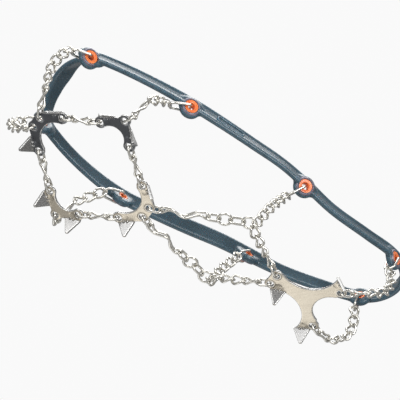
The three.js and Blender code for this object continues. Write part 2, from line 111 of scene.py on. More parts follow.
# ---- shader node groups ----------------------------------------------------------------
class EffectGroups:
    """The effects that several finishes share, each a node group built once."""

    def __init__(self) -> None:
        """Build every group."""
        self.worn_and_highlighted_edges = self._worn_and_highlighted_edges()
        self.grain = self._grain()
        self.mottle = self._mottle()

    @staticmethod
    def _start(name: str, inputs: dict[str, float], outputs: Sequence[str]) -> bpy.types.NodeTree:
        """Make an empty group.

        Args:
            name: the group's name.
            inputs: each input's name and default value.
            outputs: the names of its outputs.

        Returns:
            The group, with its input and output nodes.
        """
        group = bpy.data.node_groups.new(name, "ShaderNodeTree")
        for label, value in inputs.items():
            socket = group.interface.new_socket(label, in_out="INPUT", socket_type="NodeSocketFloat")
            socket.default_value = value
        for label in outputs:
            group.interface.new_socket(label, in_out="OUTPUT", socket_type="NodeSocketFloat")
        group.nodes.new("NodeGroupInput").name = "in"
        group.nodes.new("NodeGroupOutput").name = "out"
        return group

    @classmethod
    def _worn_and_highlighted_edges(cls) -> bpy.types.NodeTree:
        """Build the group that finds outer edges, for wear and for a painted highlight. Returns the
        group.
        """
        group = cls._start("worn_and_highlighted_edges", {"Low": 0.5, "High": 0.6, "Break Scale": 600}, ["Wear"])
        nodes, links = group.nodes, group.links
        shape = nodes.new("ShaderNodeNewGeometry")
        ramp = nodes.new("ShaderNodeMapRange")
        place = nodes.new("ShaderNodeTexCoord")
        breaks = nodes.new("ShaderNodeTexNoise")
        patches = preset(nodes.new("ShaderNodeMapRange"), From_Min=0.25, From_Max=0.55)
        product = nodes.new("ShaderNodeMath")
        product.operation = "MULTIPLY"
        links.new(shape.outputs["Pointiness"], ramp.inputs["Value"])
        links.new(nodes["in"].outputs["Low"], ramp.inputs["From Min"])
        links.new(nodes["in"].outputs["High"], ramp.inputs["From Max"])
        links.new(place.outputs["Object"], breaks.inputs["Vector"])
        links.new(nodes["in"].outputs["Break Scale"], breaks.inputs["Scale"])
        links.new(ramp.outputs["Result"], product.inputs[0])
        links.new(breaks.outputs["Fac"], patches.inputs["Value"])
        links.new(patches.outputs["Result"], product.inputs[1])
        links.new(product.outputs["Value"], nodes["out"].inputs["Wear"])
        return group

    @classmethod
    def _grain(cls) -> bpy.types.NodeTree:
        """Build the group of fine lines that brushing or drawing leaves. Returns the group."""
        inputs = {"Along": 60, "Across": 2600, "Turn": 0}
        group = cls._start("brushed_grain", inputs, ["Lines"])
        nodes, links = group.nodes, group.links
        place = nodes.new("ShaderNodeTexCoord")
        turn = nodes.new("ShaderNodeVectorRotate")
        turn.rotation_type = "Z_AXIS"
        scale = nodes.new("ShaderNodeCombineXYZ")
        stretch = nodes.new("ShaderNodeVectorMath")
        stretch.operation = "MULTIPLY"
        noise = preset(nodes.new("ShaderNodeTexNoise"), Scale=1, Detail=4)
        links.new(place.outputs["Object"], turn.inputs["Vector"])
        links.new(nodes["in"].outputs["Turn"], turn.inputs["Angle"])
        links.new(nodes["in"].outputs["Along"], scale.inputs["X"])
        links.new(nodes["in"].outputs["Across"], scale.inputs["Y"])
        links.new(nodes["in"].outputs["Across"], scale.inputs["Z"])
        links.new(turn.outputs["Vector"], stretch.inputs[0])
        links.new(scale.outputs["Vector"], stretch.inputs[1])
        links.new(stretch.outputs["Vector"], noise.inputs["Vector"])
        links.new(noise.outputs["Fac"], nodes["out"].inputs["Lines"])
        return group

    @classmethod
    def _mottle(cls) -> bpy.types.NodeTree:
        """Build the group of soft cloudy patches, with a fine speckle. Returns the group."""
        group = cls._start("mottle", {"Patch Scale": 70, "Speckle Scale": 1500}, ["Patches", "Speckle"])
        nodes, links = group.nodes, group.links
        place = nodes.new("ShaderNodeTexCoord")
        for scale, result, detail in (("Patch Scale", "Patches", 3), ("Speckle Scale", "Speckle", 6)):
            noise = preset(nodes.new("ShaderNodeTexNoise"), Detail=detail)
            links.new(place.outputs["Object"], noise.inputs["Vector"])
            links.new(nodes["in"].outputs[scale], noise.inputs["Scale"])
            links.new(noise.outputs["Fac"], nodes["out"].inputs[result])
        return group


class MaterialBench:
    """A material being put together: its nodes, and short ways to join them."""

    def __init__(self, name: str, groups: EffectGroups) -> None:
        """Start a material of that name with a Principled shader."""
        self.material = bpy.data.materials.new(name)
        self.material.use_nodes = True
        self.nodes = self.material.node_tree.nodes
        self.links = self.material.node_tree.links
        self.shader = self.nodes["Principled BSDF"]
        self.groups = groups

    def set(self, **values: float | tuple[float, ...]) -> None:
        """Set constants on the shader; underscores in a name stand for spaces."""
        preset(self.shader, **values)

    def effect(self, group: bpy.types.NodeTree, **values: float) -> bpy.types.Node:
        """Place a shared effect in the material.

        Args:
            group: the effect's node group.
            values: its inputs, with underscores for spaces.

        Returns:
            The group node.
        """
        node = self.nodes.new("ShaderNodeGroup")
        node.node_tree = group
        return preset(node, **values)

    def blend(
        self,
        mask: bpy.types.NodeSocket,
        first: tuple[float, ...] | bpy.types.NodeSocket,
        second: tuple[float, ...],
    ) -> bpy.types.NodeSocket:
        """Mix two colours by a mask.

        Args:
            mask: 0 for the first colour and 1 for the second.
            first: a colour, or the socket of one.
            second: a colour.

        Returns:
            The socket of the mixed colour.
        """
        mix = self.nodes.new("ShaderNodeMix")
        mix.data_type = "RGBA"
        self.links.new(mask, mix.inputs["Factor"])
        if isinstance(first, bpy.types.NodeSocket):
            self.links.new(first, mix.inputs[6])
        else:
            mix.inputs[6].default_value = (*first, 1)
        mix.inputs[7].default_value = (*second, 1)
        return mix.outputs[2]

    def span(self, value: bpy.types.NodeSocket, low: float, high: float) -> bpy.types.NodeSocket:
        """Spread a noise value, which mostly lies from 0.3 to 0.7, between two numbers.

        Args:
            value: the noise's socket.
            low: the number for 0.3.
            high: the number for 0.7.

        Returns:
            The socket of the result.
        """
        ramp = self.nodes.new("ShaderNodeMapRange")
        preset(ramp, From_Min=0.3, From_Max=0.7, To_Min=low, To_Max=high)
        self.links.new(value, ramp.inputs["Value"])
        return ramp.outputs["Result"]

    def slope(self, level: float, steep: float) -> bpy.types.NodeSocket:
        """Find the faces that stand up from the flat.

        Args:
            level: the upward part of the normal where the mask starts.
            steep: the upward part of the normal where it is full.

        Returns:
            The socket of the mask.
        """
        shape = self.nodes.new("ShaderNodeNewGeometry")
        parts = self.nodes.new("ShaderNodeSeparateXYZ")
        size = self.nodes.new("ShaderNodeMath")
        size.operation = "ABSOLUTE"
        ramp = preset(self.nodes.new("ShaderNodeMapRange"), From_Min=level, From_Max=steep)
        self.links.new(shape.outputs["Normal"], parts.inputs["Vector"])
        self.links.new(parts.outputs["Z"], size.inputs[0])
        self.links.new(size.outputs["Value"], ramp.inputs["Value"])
        return ramp.outputs["Result"]

    def feed(self, socket: bpy.types.NodeSocket, label: str) -> None:
        """Join a socket to one of the shader's inputs."""
        self.links.new(socket, self.shader.inputs[label])

    def bump(self, height: bpy.types.NodeSocket, strength: float, distance: float) -> None:
        """Roughen the surface.

        Args:
            height: the socket of the height.
            strength: how strong the relief is, from 0 to 1.
            distance: the relief's depth in metres.
        """
        bump = preset(self.nodes.new("ShaderNodeBump"), Strength=strength, Distance=distance)
        self.links.new(height, bump.inputs["Height"])
        self.feed(bump.outputs["Normal"], "Normal")


# ---- finishes --------------------------------------------------------------------------
@dataclass(frozen=True)
class Elastomer:
    """Glossy moulded elastomer, slightly translucent."""

    name: str = "slate_elastomer"
    slot: str = "harness"
    colour: tuple[float, float, float] = (0.022, 0.050, 0.070)
    paler: tuple[float, float, float] = (0.034, 0.074, 0.102)
    roughness: tuple[float, float] = (0.32, 0.44)

    def build(self, groups: EffectGroups) -> bpy.types.Material:
        """Return the material."""
        bench = MaterialBench(self.name, groups)
        bench.set(Specular_IOR_Level=0.6, Coat_Weight=0.2, Coat_Roughness=0.24)
        bench.set(Subsurface_Weight=0.12, Subsurface_Scale=0.002)
        mottle = bench.effect(groups.mottle, Patch_Scale=45, Speckle_Scale=2400)
        # Convex edges and the beads are painted paler: partly scuffs, partly a painted highlight
        # standing in for the soft sheen of the beads.
        worn_and_highlighted = bench.effect(groups.worn_and_highlighted_edges, Low=0.5, High=0.58, Break_Scale=300)
        tone = bench.blend(bench.span(mottle.outputs["Patches"], 0, 1), self.colour, self.paler)
        scuff_and_highlight_colour = tuple(min(1, 2.6 * part) for part in self.paler)
        bench.feed(bench.blend(worn_and_highlighted.outputs["Wear"], tone, scuff_and_highlight_colour), "Base Color")
        bench.feed(bench.span(mottle.outputs["Patches"], *self.roughness), "Roughness")
        bench.bump(mottle.outputs["Speckle"], 0.12, 0.0001)
        return bench.material


@dataclass(frozen=True)
class EyeletPlastic:
    """Hard orange moulding."""

    name: str = "orange_plastic"
    slot: str = "eyelet"
    colour: tuple[float, float, float] = (0.80, 0.13, 0.025)
    paler: tuple[float, float, float] = (0.94, 0.24, 0.06)

    def build(self, groups: EffectGroups) -> bpy.types.Material:
        """Return the material."""
        bench = MaterialBench(self.name, groups)
        bench.set(Specular_IOR_Level=0.5, Coat_Weight=0.2, Coat_Roughness=0.2)
        mottle = bench.effect(groups.mottle, Patch_Scale=220, Speckle_Scale=3000)
        worn_and_highlighted = bench.effect(groups.worn_and_highlighted_edges, Low=0.52, High=0.68, Break_Scale=900)
        tone = bench.blend(bench.span(mottle.outputs["Patches"], 0, 1), self.colour, self.paler)
        bench.feed(bench.blend(worn_and_highlighted.outputs["Wear"], tone, (1.0, 0.45, 0.2)), "Base Color")
        bench.feed(bench.span(mottle.outputs["Patches"], 0.3, 0.42), "Roughness")
        bench.bump(mottle.outputs["Speckle"], 0.1, 0.00008)
        return bench.material


@dataclass(frozen=True)
class BrightWire:
    """Tumbled stainless wire: bright, with fine drawing lines and soft stains."""

    name: str = "bright_wire"
    slot: str = "wire"
    colour: tuple[float, float, float] = (0.74, 0.725, 0.68)
    stain: tuple[float, float, float] = (0.60, 0.58, 0.53)

    def build(self, groups: EffectGroups) -> bpy.types.Material:
        """Return the material."""
        bench = MaterialBench(self.name, groups)
        bench.set(Metallic=1)
        mottle = bench.effect(groups.mottle, Patch_Scale=260, Speckle_Scale=2600)
        stain = bench.span(mottle.outputs["Patches"], 0, 0.7)
        bench.feed(bench.blend(stain, self.colour, self.stain), "Base Color")
        bench.feed(bench.span(mottle.outputs["Speckle"], 0.16, 0.3), "Roughness")
        bench.bump(mottle.outputs["Speckle"], 0.15, 0.00006)
        return bench.material


@dataclass(frozen=True)
class SheetSteel:
    """Satin stainless sheet, brushed one way, with its edges polished by wear and painted brighter as a
    highlight.
    """

    name: str
    slot: str
    colour: tuple[float, float, float]
    deeper: tuple[float, float, float]
    # The edge colour: polished steel, made brighter still as a painted highlight.
    edge: tuple[float, float, float] = (0.92, 0.91, 0.88)
    # ground: painted shade, the darker colour taken by faces that stand up from the flat, the teeth most
    # of all.
    ground: tuple[float, float, float] = (0.34, 0.338, 0.335)
    turn: float = 0.0

    def build(self, groups: EffectGroups) -> bpy.types.Material:
        """Return the material."""
        bench = MaterialBench(self.name, groups)
        bench.set(Metallic=1)
        lines = bench.effect(groups.grain, Along=90, Across=2800, Turn=self.turn)
        mottle = bench.effect(groups.mottle, Patch_Scale=60, Speckle_Scale=1800)
        worn_and_highlighted = bench.effect(groups.worn_and_highlighted_edges, Low=0.51, High=0.535, Break_Scale=500)
        tone = bench.blend(bench.span(mottle.outputs["Patches"], 0, 1), self.colour, self.deeper)
        # Painted shade: faces whose normal leans away from upright take the darker ground colour.
        tone = bench.blend(bench.slope(0.86, 0.7), tone, self.ground)
        # Outer edges take the edge colour: polish from wear, with a painted highlight.
        bench.feed(bench.blend(worn_and_highlighted.outputs["Wear"], tone, self.edge), "Base Color")
        bench.feed(bench.span(lines.outputs["Lines"], 0.3, 0.4), "Roughness")
        bench.bump(lines.outputs["Lines"], 0.06, 0.00003)
        return bench.material


# ---- shared shape helpers ----------------------------------------------------------------
class Workshop:
    """Turns meshes into finished pieces that ride on the CAD model's bodies."""

    def __init__(self) -> None:
        """Build the finishes."""
        groups = EffectGroups()
        self.finishes = {
            "harness": Elastomer(),
            "collar": Elastomer(
                name="collar_elastomer",
                colour=(0.05, 0.045, 0.062),
                paler=(0.10, 0.092, 0.12),
                roughness=(0.3, 0.45),
            ),
            "eyelet": EyeletPlastic(),
            "wire": BrightWire(),
            # One stainless steel in two copies: the dark copy paints in the dark reflection that the
            # front plates show, and the pale copy is the same steel as lit.
            "dark": SheetSteel(
                "steel_painted_dark_reflection", "dark_plate", (0.125, 0.13, 0.14), (0.105, 0.11, 0.12), (0.66, 0.66, 0.65)
            ),
            "pale": SheetSteel(
                "steel_lit_copy", "pale_plate", (0.60, 0.545, 0.45), (0.555, 0.50, 0.41), turn=0.9
            ),
        }
        self.materials = {key: finish.build(groups) for key, finish in self.finishes.items()}
        self.made = 0

    def mount(
        self,
        name: str,
        mesh: bpy.types.Mesh,
        finish: str,
        body: str,
        stands_for: Iterable[str] = (),
    ) -> bpy.types.Object:
        """Make a piece of a mesh.

        Args:
            name: the piece's name.
            mesh: its mesh, in metres in the frame.
            finish: the key of its finish.
            body: the CAD body that it rides on.
            stands_for: the CAD nodes that it replaces.

        Returns:
            The new object.
        """
        piece = placed(name, mesh)
        mesh.materials.clear()
        mesh.materials.append(self.materials[finish])
        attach(piece, body)
        if stands_for:
            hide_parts(*stands_for)
        self.made += 1
        return piece


def mesh_from(
    bm: bmesh.types.BMesh, name: str, matrix: Matrix | None = None, sharp: float = 38
) -> bpy.types.Mesh:
    """Close a bmesh into a smooth-shaded mesh in metres.

    Args:
        bm: the shape in millimetres; it is freed.
        name: the mesh's name.
        matrix: where the shape goes in the frame, in millimetres.
        sharp: edges bent by more degrees than this stay hard.

    Returns:
        The mesh, with hard edges kept sharp.
    """
    bm.transform(Matrix.Scale(MILLIMETRE, 4) @ (matrix or Matrix.Identity(4)))
    bmesh.ops.remove_doubles(bm, verts=bm.verts, dist=1e-7)
    bmesh.ops.recalc_face_normals(bm, faces=bm.faces)
    mesh = bpy.data.meshes.new(name)
    bm.to_mesh(mesh)
    bm.free()
    mesh.shade_smooth()
    mesh.set_sharp_from_angle(angle=math.radians(sharp))
    return mesh


def apply_modifiers(mesh: bpy.types.Mesh, steps: Callable[[bpy.types.Object], None]) -> bpy.types.Mesh:
    """Run modifiers over a mesh and keep the result.

    Args:
        mesh: the mesh to start from.
        steps: adds the modifiers to the object it is given.

    Returns:
        The new mesh.
    """
    holder = placed("holder", mesh)
    steps(holder)
    graph = bpy.context.evaluated_depsgraph_get()
    result = bpy.data.meshes.new_from_object(holder.evaluated_get(graph))
    bpy.data.objects.remove(holder)
    return result


def melted(mesh: bpy.types.Mesh, voxel: float, rounds: int) -> bpy.types.Mesh:
    """Melt overlapping shells into one even skin.

    Args:
        mesh: closed shells, in metres.
        voxel: the size of the skin's faces, in millimetres.
        rounds: how many times its edges are smoothed.

    Returns:
        The skin.
    """

    def melt(holder: bpy.types.Object) -> None:
        """Merge the shells and smooth the joins."""
        remesh = holder.modifiers.new("merge", "REMESH")
        remesh.mode = "VOXEL"
        remesh.voxel_size = voxel * MILLIMETRE
        relax = holder.modifiers.new("relax", "SMOOTH")
        relax.factor = 0.5
        relax.iterations = rounds

    return apply_modifiers(mesh, melt)


def subtract(mesh: bpy.types.Mesh, cutters: bpy.types.Mesh) -> bpy.types.Mesh:
    """Cut one closed mesh out of another. Returns the mesh that is left."""
    tool = placed("cutter", cutters)

    def cut(holder: bpy.types.Object) -> None:
        """Add the cut."""
        boolean = holder.modifiers.new("cut", "BOOLEAN")
        boolean.operation = "DIFFERENCE"
        boolean.solver = "EXACT"
        boolean.use_self = True
        boolean.object = tool

    result = apply_modifiers(mesh, cut)
    bpy.data.objects.remove(tool)
    return result


def add_ball(bm: bmesh.types.BMesh, centre: Vector, radii: Sequence[Vector], fine: int) -> None:
    """Add a stretched ball.

    Args:
        bm: the shape it joins.
        centre: its middle.
        radii: its three half axes.
        fine: the number of its rings.
    """
    frame = Matrix(radii).transposed()
    place = Matrix.Translation(centre) @ frame.to_4x4()
    bmesh.ops.create_uvsphere(bm, u_segments=fine * 3 // 2, v_segments=fine, radius=1, matrix=place)


def add_cylinder(
    bm: bmesh.types.BMesh, radius: float, depth: float, place: Matrix, segments: int
) -> None:
    """Add a closed cylinder.

    Args:
        bm: the shape it joins.
        radius: its radius.
        depth: its length.
        place: where its middle goes, with its length along z.
        segments: the number of its sides.
    """
    bmesh.ops.create_cone(
        bm,
        cap_ends=True,
        segments=segments,
        radius1=radius,
        radius2=radius,
        depth=depth,
        matrix=place,
    )


def bevel(bm: bmesh.types.BMesh, edges: list[bmesh.types.BMEdge], size: float, steps: int) -> None:
    """Cut edges back.

    Args:
        bm: the shape.
        edges: its edges to cut.
        size: how far the cut reaches on each side.
        steps: the number of faces in it.
    """
    bmesh.ops.bevel(
        bm,
        geom=edges,
        offset=size,
        segments=steps,
        profile=0.5,
        affect="EDGES",
        material=-1,
        clamp_overlap=True,
    )


def spin_round(bm: bmesh.types.BMesh, points: Sequence[Vector], centre: Vector, steps: int) -> None:
    """Turn a closed outline a full turn about an upright line.

    Args:
        bm: the shape it joins.
        points: the outline's corners, in order.
        centre: a point of the line.
        steps: the number of steps in the turn.
    """
    verts = [bm.verts.new(point) for point in points]
    edges = [bm.edges.new(pair) for pair in zip(verts, verts[1:] + verts[:1])]
    bmesh.ops.spin(
        bm,
        geom=[*verts, *edges],
        cent=centre,
        axis=UP,
        angle=2 * math.pi,
        steps=steps,
        use_merge=True,
        use_duplicate=False,
    )


def axes(along: Vector, hint: Vector) -> tuple[Vector, Vector]:
    """Return two unit vectors square to a line: one nearest to a hint, and the third way."""
    first = (hint - along * hint.dot(along)).normalized()
    return first, along.cross(first)


def turned(vector: Vector, axis: Vector, angle: float) -> Vector:
    """Return a vector turned about an axis by an angle in radians."""
    return Matrix.Rotation(angle, 3, axis) @ vector


def angle_about(axis: Vector, start: Vector, goal: Vector) -> float:
    """Return the angle from one vector to another about an axis, in radians."""
    return math.atan2(axis.dot(start.cross(goal)), start.dot(goal))


def smooth(value: float) -> float:
    """Return 0 to 1 eased at both ends."""
    held = min(1.0, max(0.0, value))
    return held * held * (3 - 2 * held)


def curve_value(before: Measure, start: Measure, end: Measure, after: Measure, t: float) -> Measure:
    """Return a value on the even smooth curve from the second of four to the third."""
    return 0.5 * (
        2 * start
        + (end - before) * t
        + (2 * before - 5 * start + 4 * end - after) * t**2
        + (3 * start - before - 3 * end + after) * t**3
    )


# ---- wire ----------------------------------------------------------------------------------
@dataclass(frozen=True)
class WireLoop:
    """A closed loop of round wire: two strands side by side that meet at both ends."""

    start: Vector
    end: Vector
    spread: Vector
    width: float = 6.2
    waist: float | None = None
    twist: float = 0.0
    start_width: float | None = None
    start_round: float | None = None
    swing: Callable[[float], Vector] | None = None
    count: int = 44
    diameter: float = WIRE

    @property
    def along(self) -> Vector:
        """The way from the loop's start to its end."""
        return (self.end - self.start).normalized()

    @property
    def end_spread(self) -> Vector:
        """The way in which the strands lie apart at the loop's end."""
        return turned(axes(self.along, self.spread)[0], self.along, self.twist)

    def half_width(self, distance: float, length: float) -> float:
        """Return how far a strand is from the middle line.

        Args:
            distance: how far along the loop, in millimetres.
            length: the loop's length between its end wires' centres.

        Returns:
            Half the distance between the strands.
        """
        eye = self.width / 2
        first = (self.start_width or self.width) / 2
        full = first + (eye - first) * distance / length
        for near, radius in ((distance, self.start_round or eye), (length - distance, eye)):
            if near < radius:
                full *= math.sqrt(max(0.0, 1 - (1 - near / radius) ** 2))
        if self.waist is None:
            return full
        inner = min(distance, length - distance)
        share = smooth((inner - eye) / (1.7 * eye))
        return full + (self.waist / 2 - full) * share

    def points(self) -> list[Vector]:
        """Return the loop's centre line."""
        length = (self.end - self.start).length
        spread = axes(self.along, self.spread)[0]
        line = []
        for step in range(self.count):
            turn = 2 * math.pi * step / self.count
            share = (1 - math.cos(turn)) / 2
            way = 1 if step * 2 < self.count else -1
            across = turned(spread, self.along, self.twist * smooth(share))
            point = self.start.lerp(self.end, share)
            point += across * way * self.half_width(share * length, length)
            line.append(point + self.swing(share) if self.swing else point)
        return line

    def mesh(self, name: str, side: Side) -> bpy.types.Mesh:
        """Return the loop's mesh on one side of the shoe."""
        curve = bpy.data.curves.new(name, "CURVE")
        curve.dimensions = "3D"
        curve.bevel_depth = self.diameter / 2 * MILLIMETRE
        curve.bevel_resolution = 3
        line = [side.place(point) * MILLIMETRE for point in self.points()]
        spline = curve.splines.new("POLY")
        spline.points.add(len(line) - 1)
        for target, point in zip(spline.points, line):
            target.co = (*point, 1)
        spline.use_cyclic_u = True
        holder = bpy.data.objects.new(name, curve)
        mesh = bpy.data.meshes.new_from_object(holder)
        bpy.data.objects.remove(holder)
        mesh.shade_smooth()
        return mesh


@dataclass
class LinkRun:
    """Twisted links along a path, each hanging in the one before."""

    path: list[Vector]
    count: int
    spread: Vector
    last_spread: Vector | None = None
    width: float = LINK_WIDTH
    twist: float = math.radians(70)
    steps: int = 24

    def _walk(self) -> list[Vector]:
        """Return many points along a smooth curve through the path."""
        points = [2 * self.path[0] - self.path[1], *self.path, 2 * self.path[-1] - self.path[-2]]
        line = []
        for before, start, end, after in zip(points, points[1:], points[2:], points[3:]):
            shares = [step / self.steps for step in range(self.steps)]
            line.extend(curve_value(before, start, end, after, share) for share in shares)
        return [*line, self.path[-1]]

    @staticmethod
    def _at(line: list[Vector], distance: float) -> Vector:
        """Return the point a distance along a line of points."""
        for start, end in zip(line, line[1:]):
            step = (end - start).length
            if distance <= step:
                return start.lerp(end, distance / step)
            distance -= step
        return line[-1].copy()

    def _loops(self, twist: float) -> list[WireLoop]:
        """Return the links for a given twist in each."""
        line = self._walk()
        reach = sum((b - a).length for a, b in zip(line, line[1:]))
        overlap = WIRE + TOUCH
        length = (reach + (self.count - 1) * overlap) / self.count
        spread = self.spread
        loops = []
        for index in range(self.count):
            start = self._at(line, index * (length - overlap))
            end = self._at(line, index * (length - overlap) + length)
            loop = WireLoop(start, end, spread, width=self.width, twist=twist)
            loops.append(loop)
            spread = loop.end_spread.cross(loop.along)
        return loops

    def loops(self) -> list[WireLoop]:
        """Return the links, twisted so that the last one meets what it hangs in."""
        if self.last_spread is None:
            return self._loops(self.twist)
        last = self._loops(self.twist)[-1]
        goal = axes(last.along, self.last_spread)[0]
        left = angle_about(last.along, last.end_spread, goal)
        left = (left + math.pi / 2) % math.pi - math.pi / 2
        return self._loops(self.twist + left / self.count)


# ---- plates --------------------------------------------------------------------------------
@dataclass(frozen=True)
class Tooth:
    """A triangular tooth bent down at a plate's edge, square to the way it points."""

    at: tuple[float, float]
    turn: float
    base: float = 12
    shoulder: float = 1.6
    length: float = 12.5
    tip: float = 1.9
    lean: float = 25

    @property
    def out(self) -> Vector:
        """The way the tooth points, in the plate's plane."""
        turn = math.radians(self.turn)
        return Vector((math.cos(turn), math.sin(turn), 0))

    @property
    def along(self) -> Vector:
        """The way of the bend, in the plate's plane."""
        return UP.cross(self.out)

    @property
    def down(self) -> Vector:
        """The way from the bend to the tip."""
        lean = math.radians(self.lean)
        return self.out * math.sin(lean) - UP * math.cos(lean)

    def ends(self) -> list[Vector]:
        """Return the ends of the bend."""
        middle = Vector((*self.at, 0))
        return [middle + self.along * self.base / 2 * way for way in (-1, 1)]

    def mirrored(self, over_x: bool) -> Tooth:
        """Return the tooth's mirror image.

        Args:
            over_x: True to mirror across the x axis, False across the y axis.

        Returns:
            The other tooth.
        """
        x, y = self.at
        if over_x:
            return Tooth((x, -y), -self.turn)
        return Tooth((-x, y), 180 - self.turn)


@dataclass(frozen=True)
class Pose:
    """Where a plate lies in the frame, and its slopes in degrees."""

    at: tuple[float, float, float]
    pitch: float = 0.0
    roll: float = 0.0
    turn: float = 0.0

    def matrix(self) -> Matrix:
        """Return the plate's place, in millimetres."""
        return (
            Matrix.Translation(self.at)
            @ Matrix.Rotation(math.radians(-self.pitch), 4, "Y")
            @ Matrix.Rotation(math.radians(self.roll), 4, "X")
            @ Matrix.Rotation(math.radians(self.turn), 4, "Z")
        )


@dataclass
class Plate:
    """A stamped plate: an outline, its holes, and the teeth bent from its edge."""

    pose: Pose
    outline: list[Vector]
    holes: list[tuple[float, float]]
    teeth: list[Tooth]
    thickness: float = 2.0
    hole: float = 2.3
    lip: float = 0.35
    lip_width: float = 1.2
    sides: int = 28
    voxel: float = 0.3
    bend: float = 1.5
    chamfer: float = 0.92
    swage: float = 1.3
    swage_reach: float = 1.9
    swage_lift: float = 0.8
    bead: float = 0.62
    dent: float = 0.7
    dish: tuple[float, float, float] = (3.0, 2.6, 0.58)
    dish_back: float = 4.4
    dish_drop: float = 0.3

    def hole_centre(self, index: int) -> Vector:
        """Return the middle of a hole in the frame, half way through the sheet."""
        return self.pose.matrix() @ Vector((*self.holes[index], -self.thickness / 2))

    def normal(self) -> Vector:
        """Return the sheet's upward normal in the frame."""
        return (self.pose.matrix().to_3x3() @ UP).normalized()

    def _bent_sheet(self) -> bmesh.types.BMesh:
        """Return the sheet with its teeth folded down, before any hole is punched."""
        bm = bmesh.new()
        corners = [bm.verts.new(point) for point in self.outline]
        bm.faces.new(corners)
        bm.normal_update()
        if bm.faces[:][0].normal.z < 0:
            bmesh.ops.reverse_faces(bm, faces=bm.faces[:])
        for tooth in self.teeth:
            self._fold(bm, tooth)
        bmesh.ops.recalc_face_normals(bm, faces=bm.faces)
        top = max(bm.faces, key=lambda face: face.calc_area())
        if top.normal.z < 0:
            bmesh.ops.reverse_faces(bm, faces=bm.faces[:])
        bmesh.ops.solidify(bm, geom=bm.faces[:], thickness=self.thickness)
        for tooth in self.teeth:
            self._chamfer(bm, tooth)
        return bm

    def _chamfer(self, bm: bmesh.types.BMesh, tooth: Tooth) -> None:
        """Grind the long edges of a tooth, on both its faces.

        Args:
            bm: the solid sheet.
            tooth: the tooth.
        """
        root = Vector((*tooth.at, 0))
        across = tooth.down.cross(tooth.along)

        def ground(edge: bmesh.types.BMEdge) -> bool:
            """Tell whether an edge runs down the side of a tooth's face or round its tip."""
            spots = [vert.co - root for vert in edge.verts]
            if any(abs(spot.dot(tooth.along)) > tooth.base for spot in spots):
                return False
            if any(spot.dot(tooth.down) < tooth.shoulder - 0.3 for spot in spots):
                return False
            through = (spots[1] - spots[0]).dot(across)
            return abs(through) < 0.3 and edge.calc_face_angle(0) > 0.8

        bm.normal_update()
        bevel(bm, [edge for edge in bm.edges if ground(edge)], self.chamfer, 1)

    def _fold(self, bm: bmesh.types.BMesh, tooth: Tooth) -> None:
        """Extrude a tooth from its edge of the sheet and round the bend.

        Args:
            bm: the sheet.
            tooth: the tooth.
        """
        ends = tooth.ends()

        def beside(vert: bmesh.types.BMVert) -> bool:
            """Tell whether a corner is an end of the bend."""
            return any((vert.co - end).length < 0.01 for end in ends)

        bm.edges.ensure_lookup_table()
        root = next(edge for edge in bm.edges if all(beside(vert) for vert in edge.verts))
        edge = root
        width = tooth.base
        for reach, next_width in ((tooth.shoulder, tooth.base), (tooth.length, tooth.tip)):
            made = bmesh.ops.extrude_edge_only(bm, edges=[edge])["geom"]
            edge = next(item for item in made if isinstance(item, bmesh.types.BMEdge)
                        and all(vert in made for vert in item.verts))
            for vert in edge.verts:
                aside = (vert.co - Vector((*tooth.at, 0))).dot(tooth.along) * next_width / width
                vert.co = Vector((*tooth.at, 0)) + tooth.along * aside + tooth.down * reach
            width = next_width
        bevel(bm, [root], self.bend, 5)

    def _punches(self) -> bpy.types.Mesh:
        """Return the cylinders of the holes, and the dents and the dish at each tooth."""
        bm = bmesh.new()
        for x, y in self.holes:
            add_cylinder(bm, self.hole, self.thickness * 4, Matrix.Translation((x, y, 0)), self.sides)
        for tooth in self.teeth:
            for aside in (-self.swage, self.swage):
                self._swage(bm, tooth, aside, Vector((*tooth.at, 0)), self.dent)
            spot = Vector((*tooth.at, -self.thickness - self.dish_drop)) - tooth.out * self.dish_back
            wide, long, deep = self.dish
            add_ball(bm, spot, (tooth.along * wide, tooth.out * long, UP * deep), 24)
        return mesh_from(bm, "punches")

    def _swage(
        self, bm: bmesh.types.BMesh, tooth: Tooth, aside: float, root: Vector, size: float
    ) -> None:
        """Add one long rounded bead across a bend.

        Args:
            bm: the shape it joins.
            tooth: the tooth.
            aside: how far from the tooth's middle, along the bend.
            root: the middle of the bend, on the face that the bead is on.
            size: half the bead's width.
        """
        slope = (tooth.down - tooth.out).normalized()
        lift = tooth.along.cross(slope)
        radii = (tooth.along * size, slope * self.swage_reach, lift * self.swage_lift)
        add_ball(bm, root + tooth.along * aside, radii, 12)

    def _add_lip(self, bm: bmesh.types.BMesh, centre: Vector, height: float) -> None:
        """Raise a rounded lip round a hole.

        Args:
            bm: the shape it joins.
            centre: the middle of the lip's foot.
            height: how far it stands up; negative on the underside.
        """
        inner, outer = self.hole - 0.02, self.hole + self.lip_width
        profile = [
            Vector((inner, 0, -0.3 * height)),
            Vector((inner, 0, 0.75 * height)),
            Vector((inner + 0.35, 0, height)),
            Vector((inner + 0.8, 0, 0.9 * height)),
            Vector((outer, 0, 0.15 * height)),
            Vector((outer, 0, -0.3 * height)),
        ]
        spin_round(bm, [centre + point for point in profile], centre, self.sides)

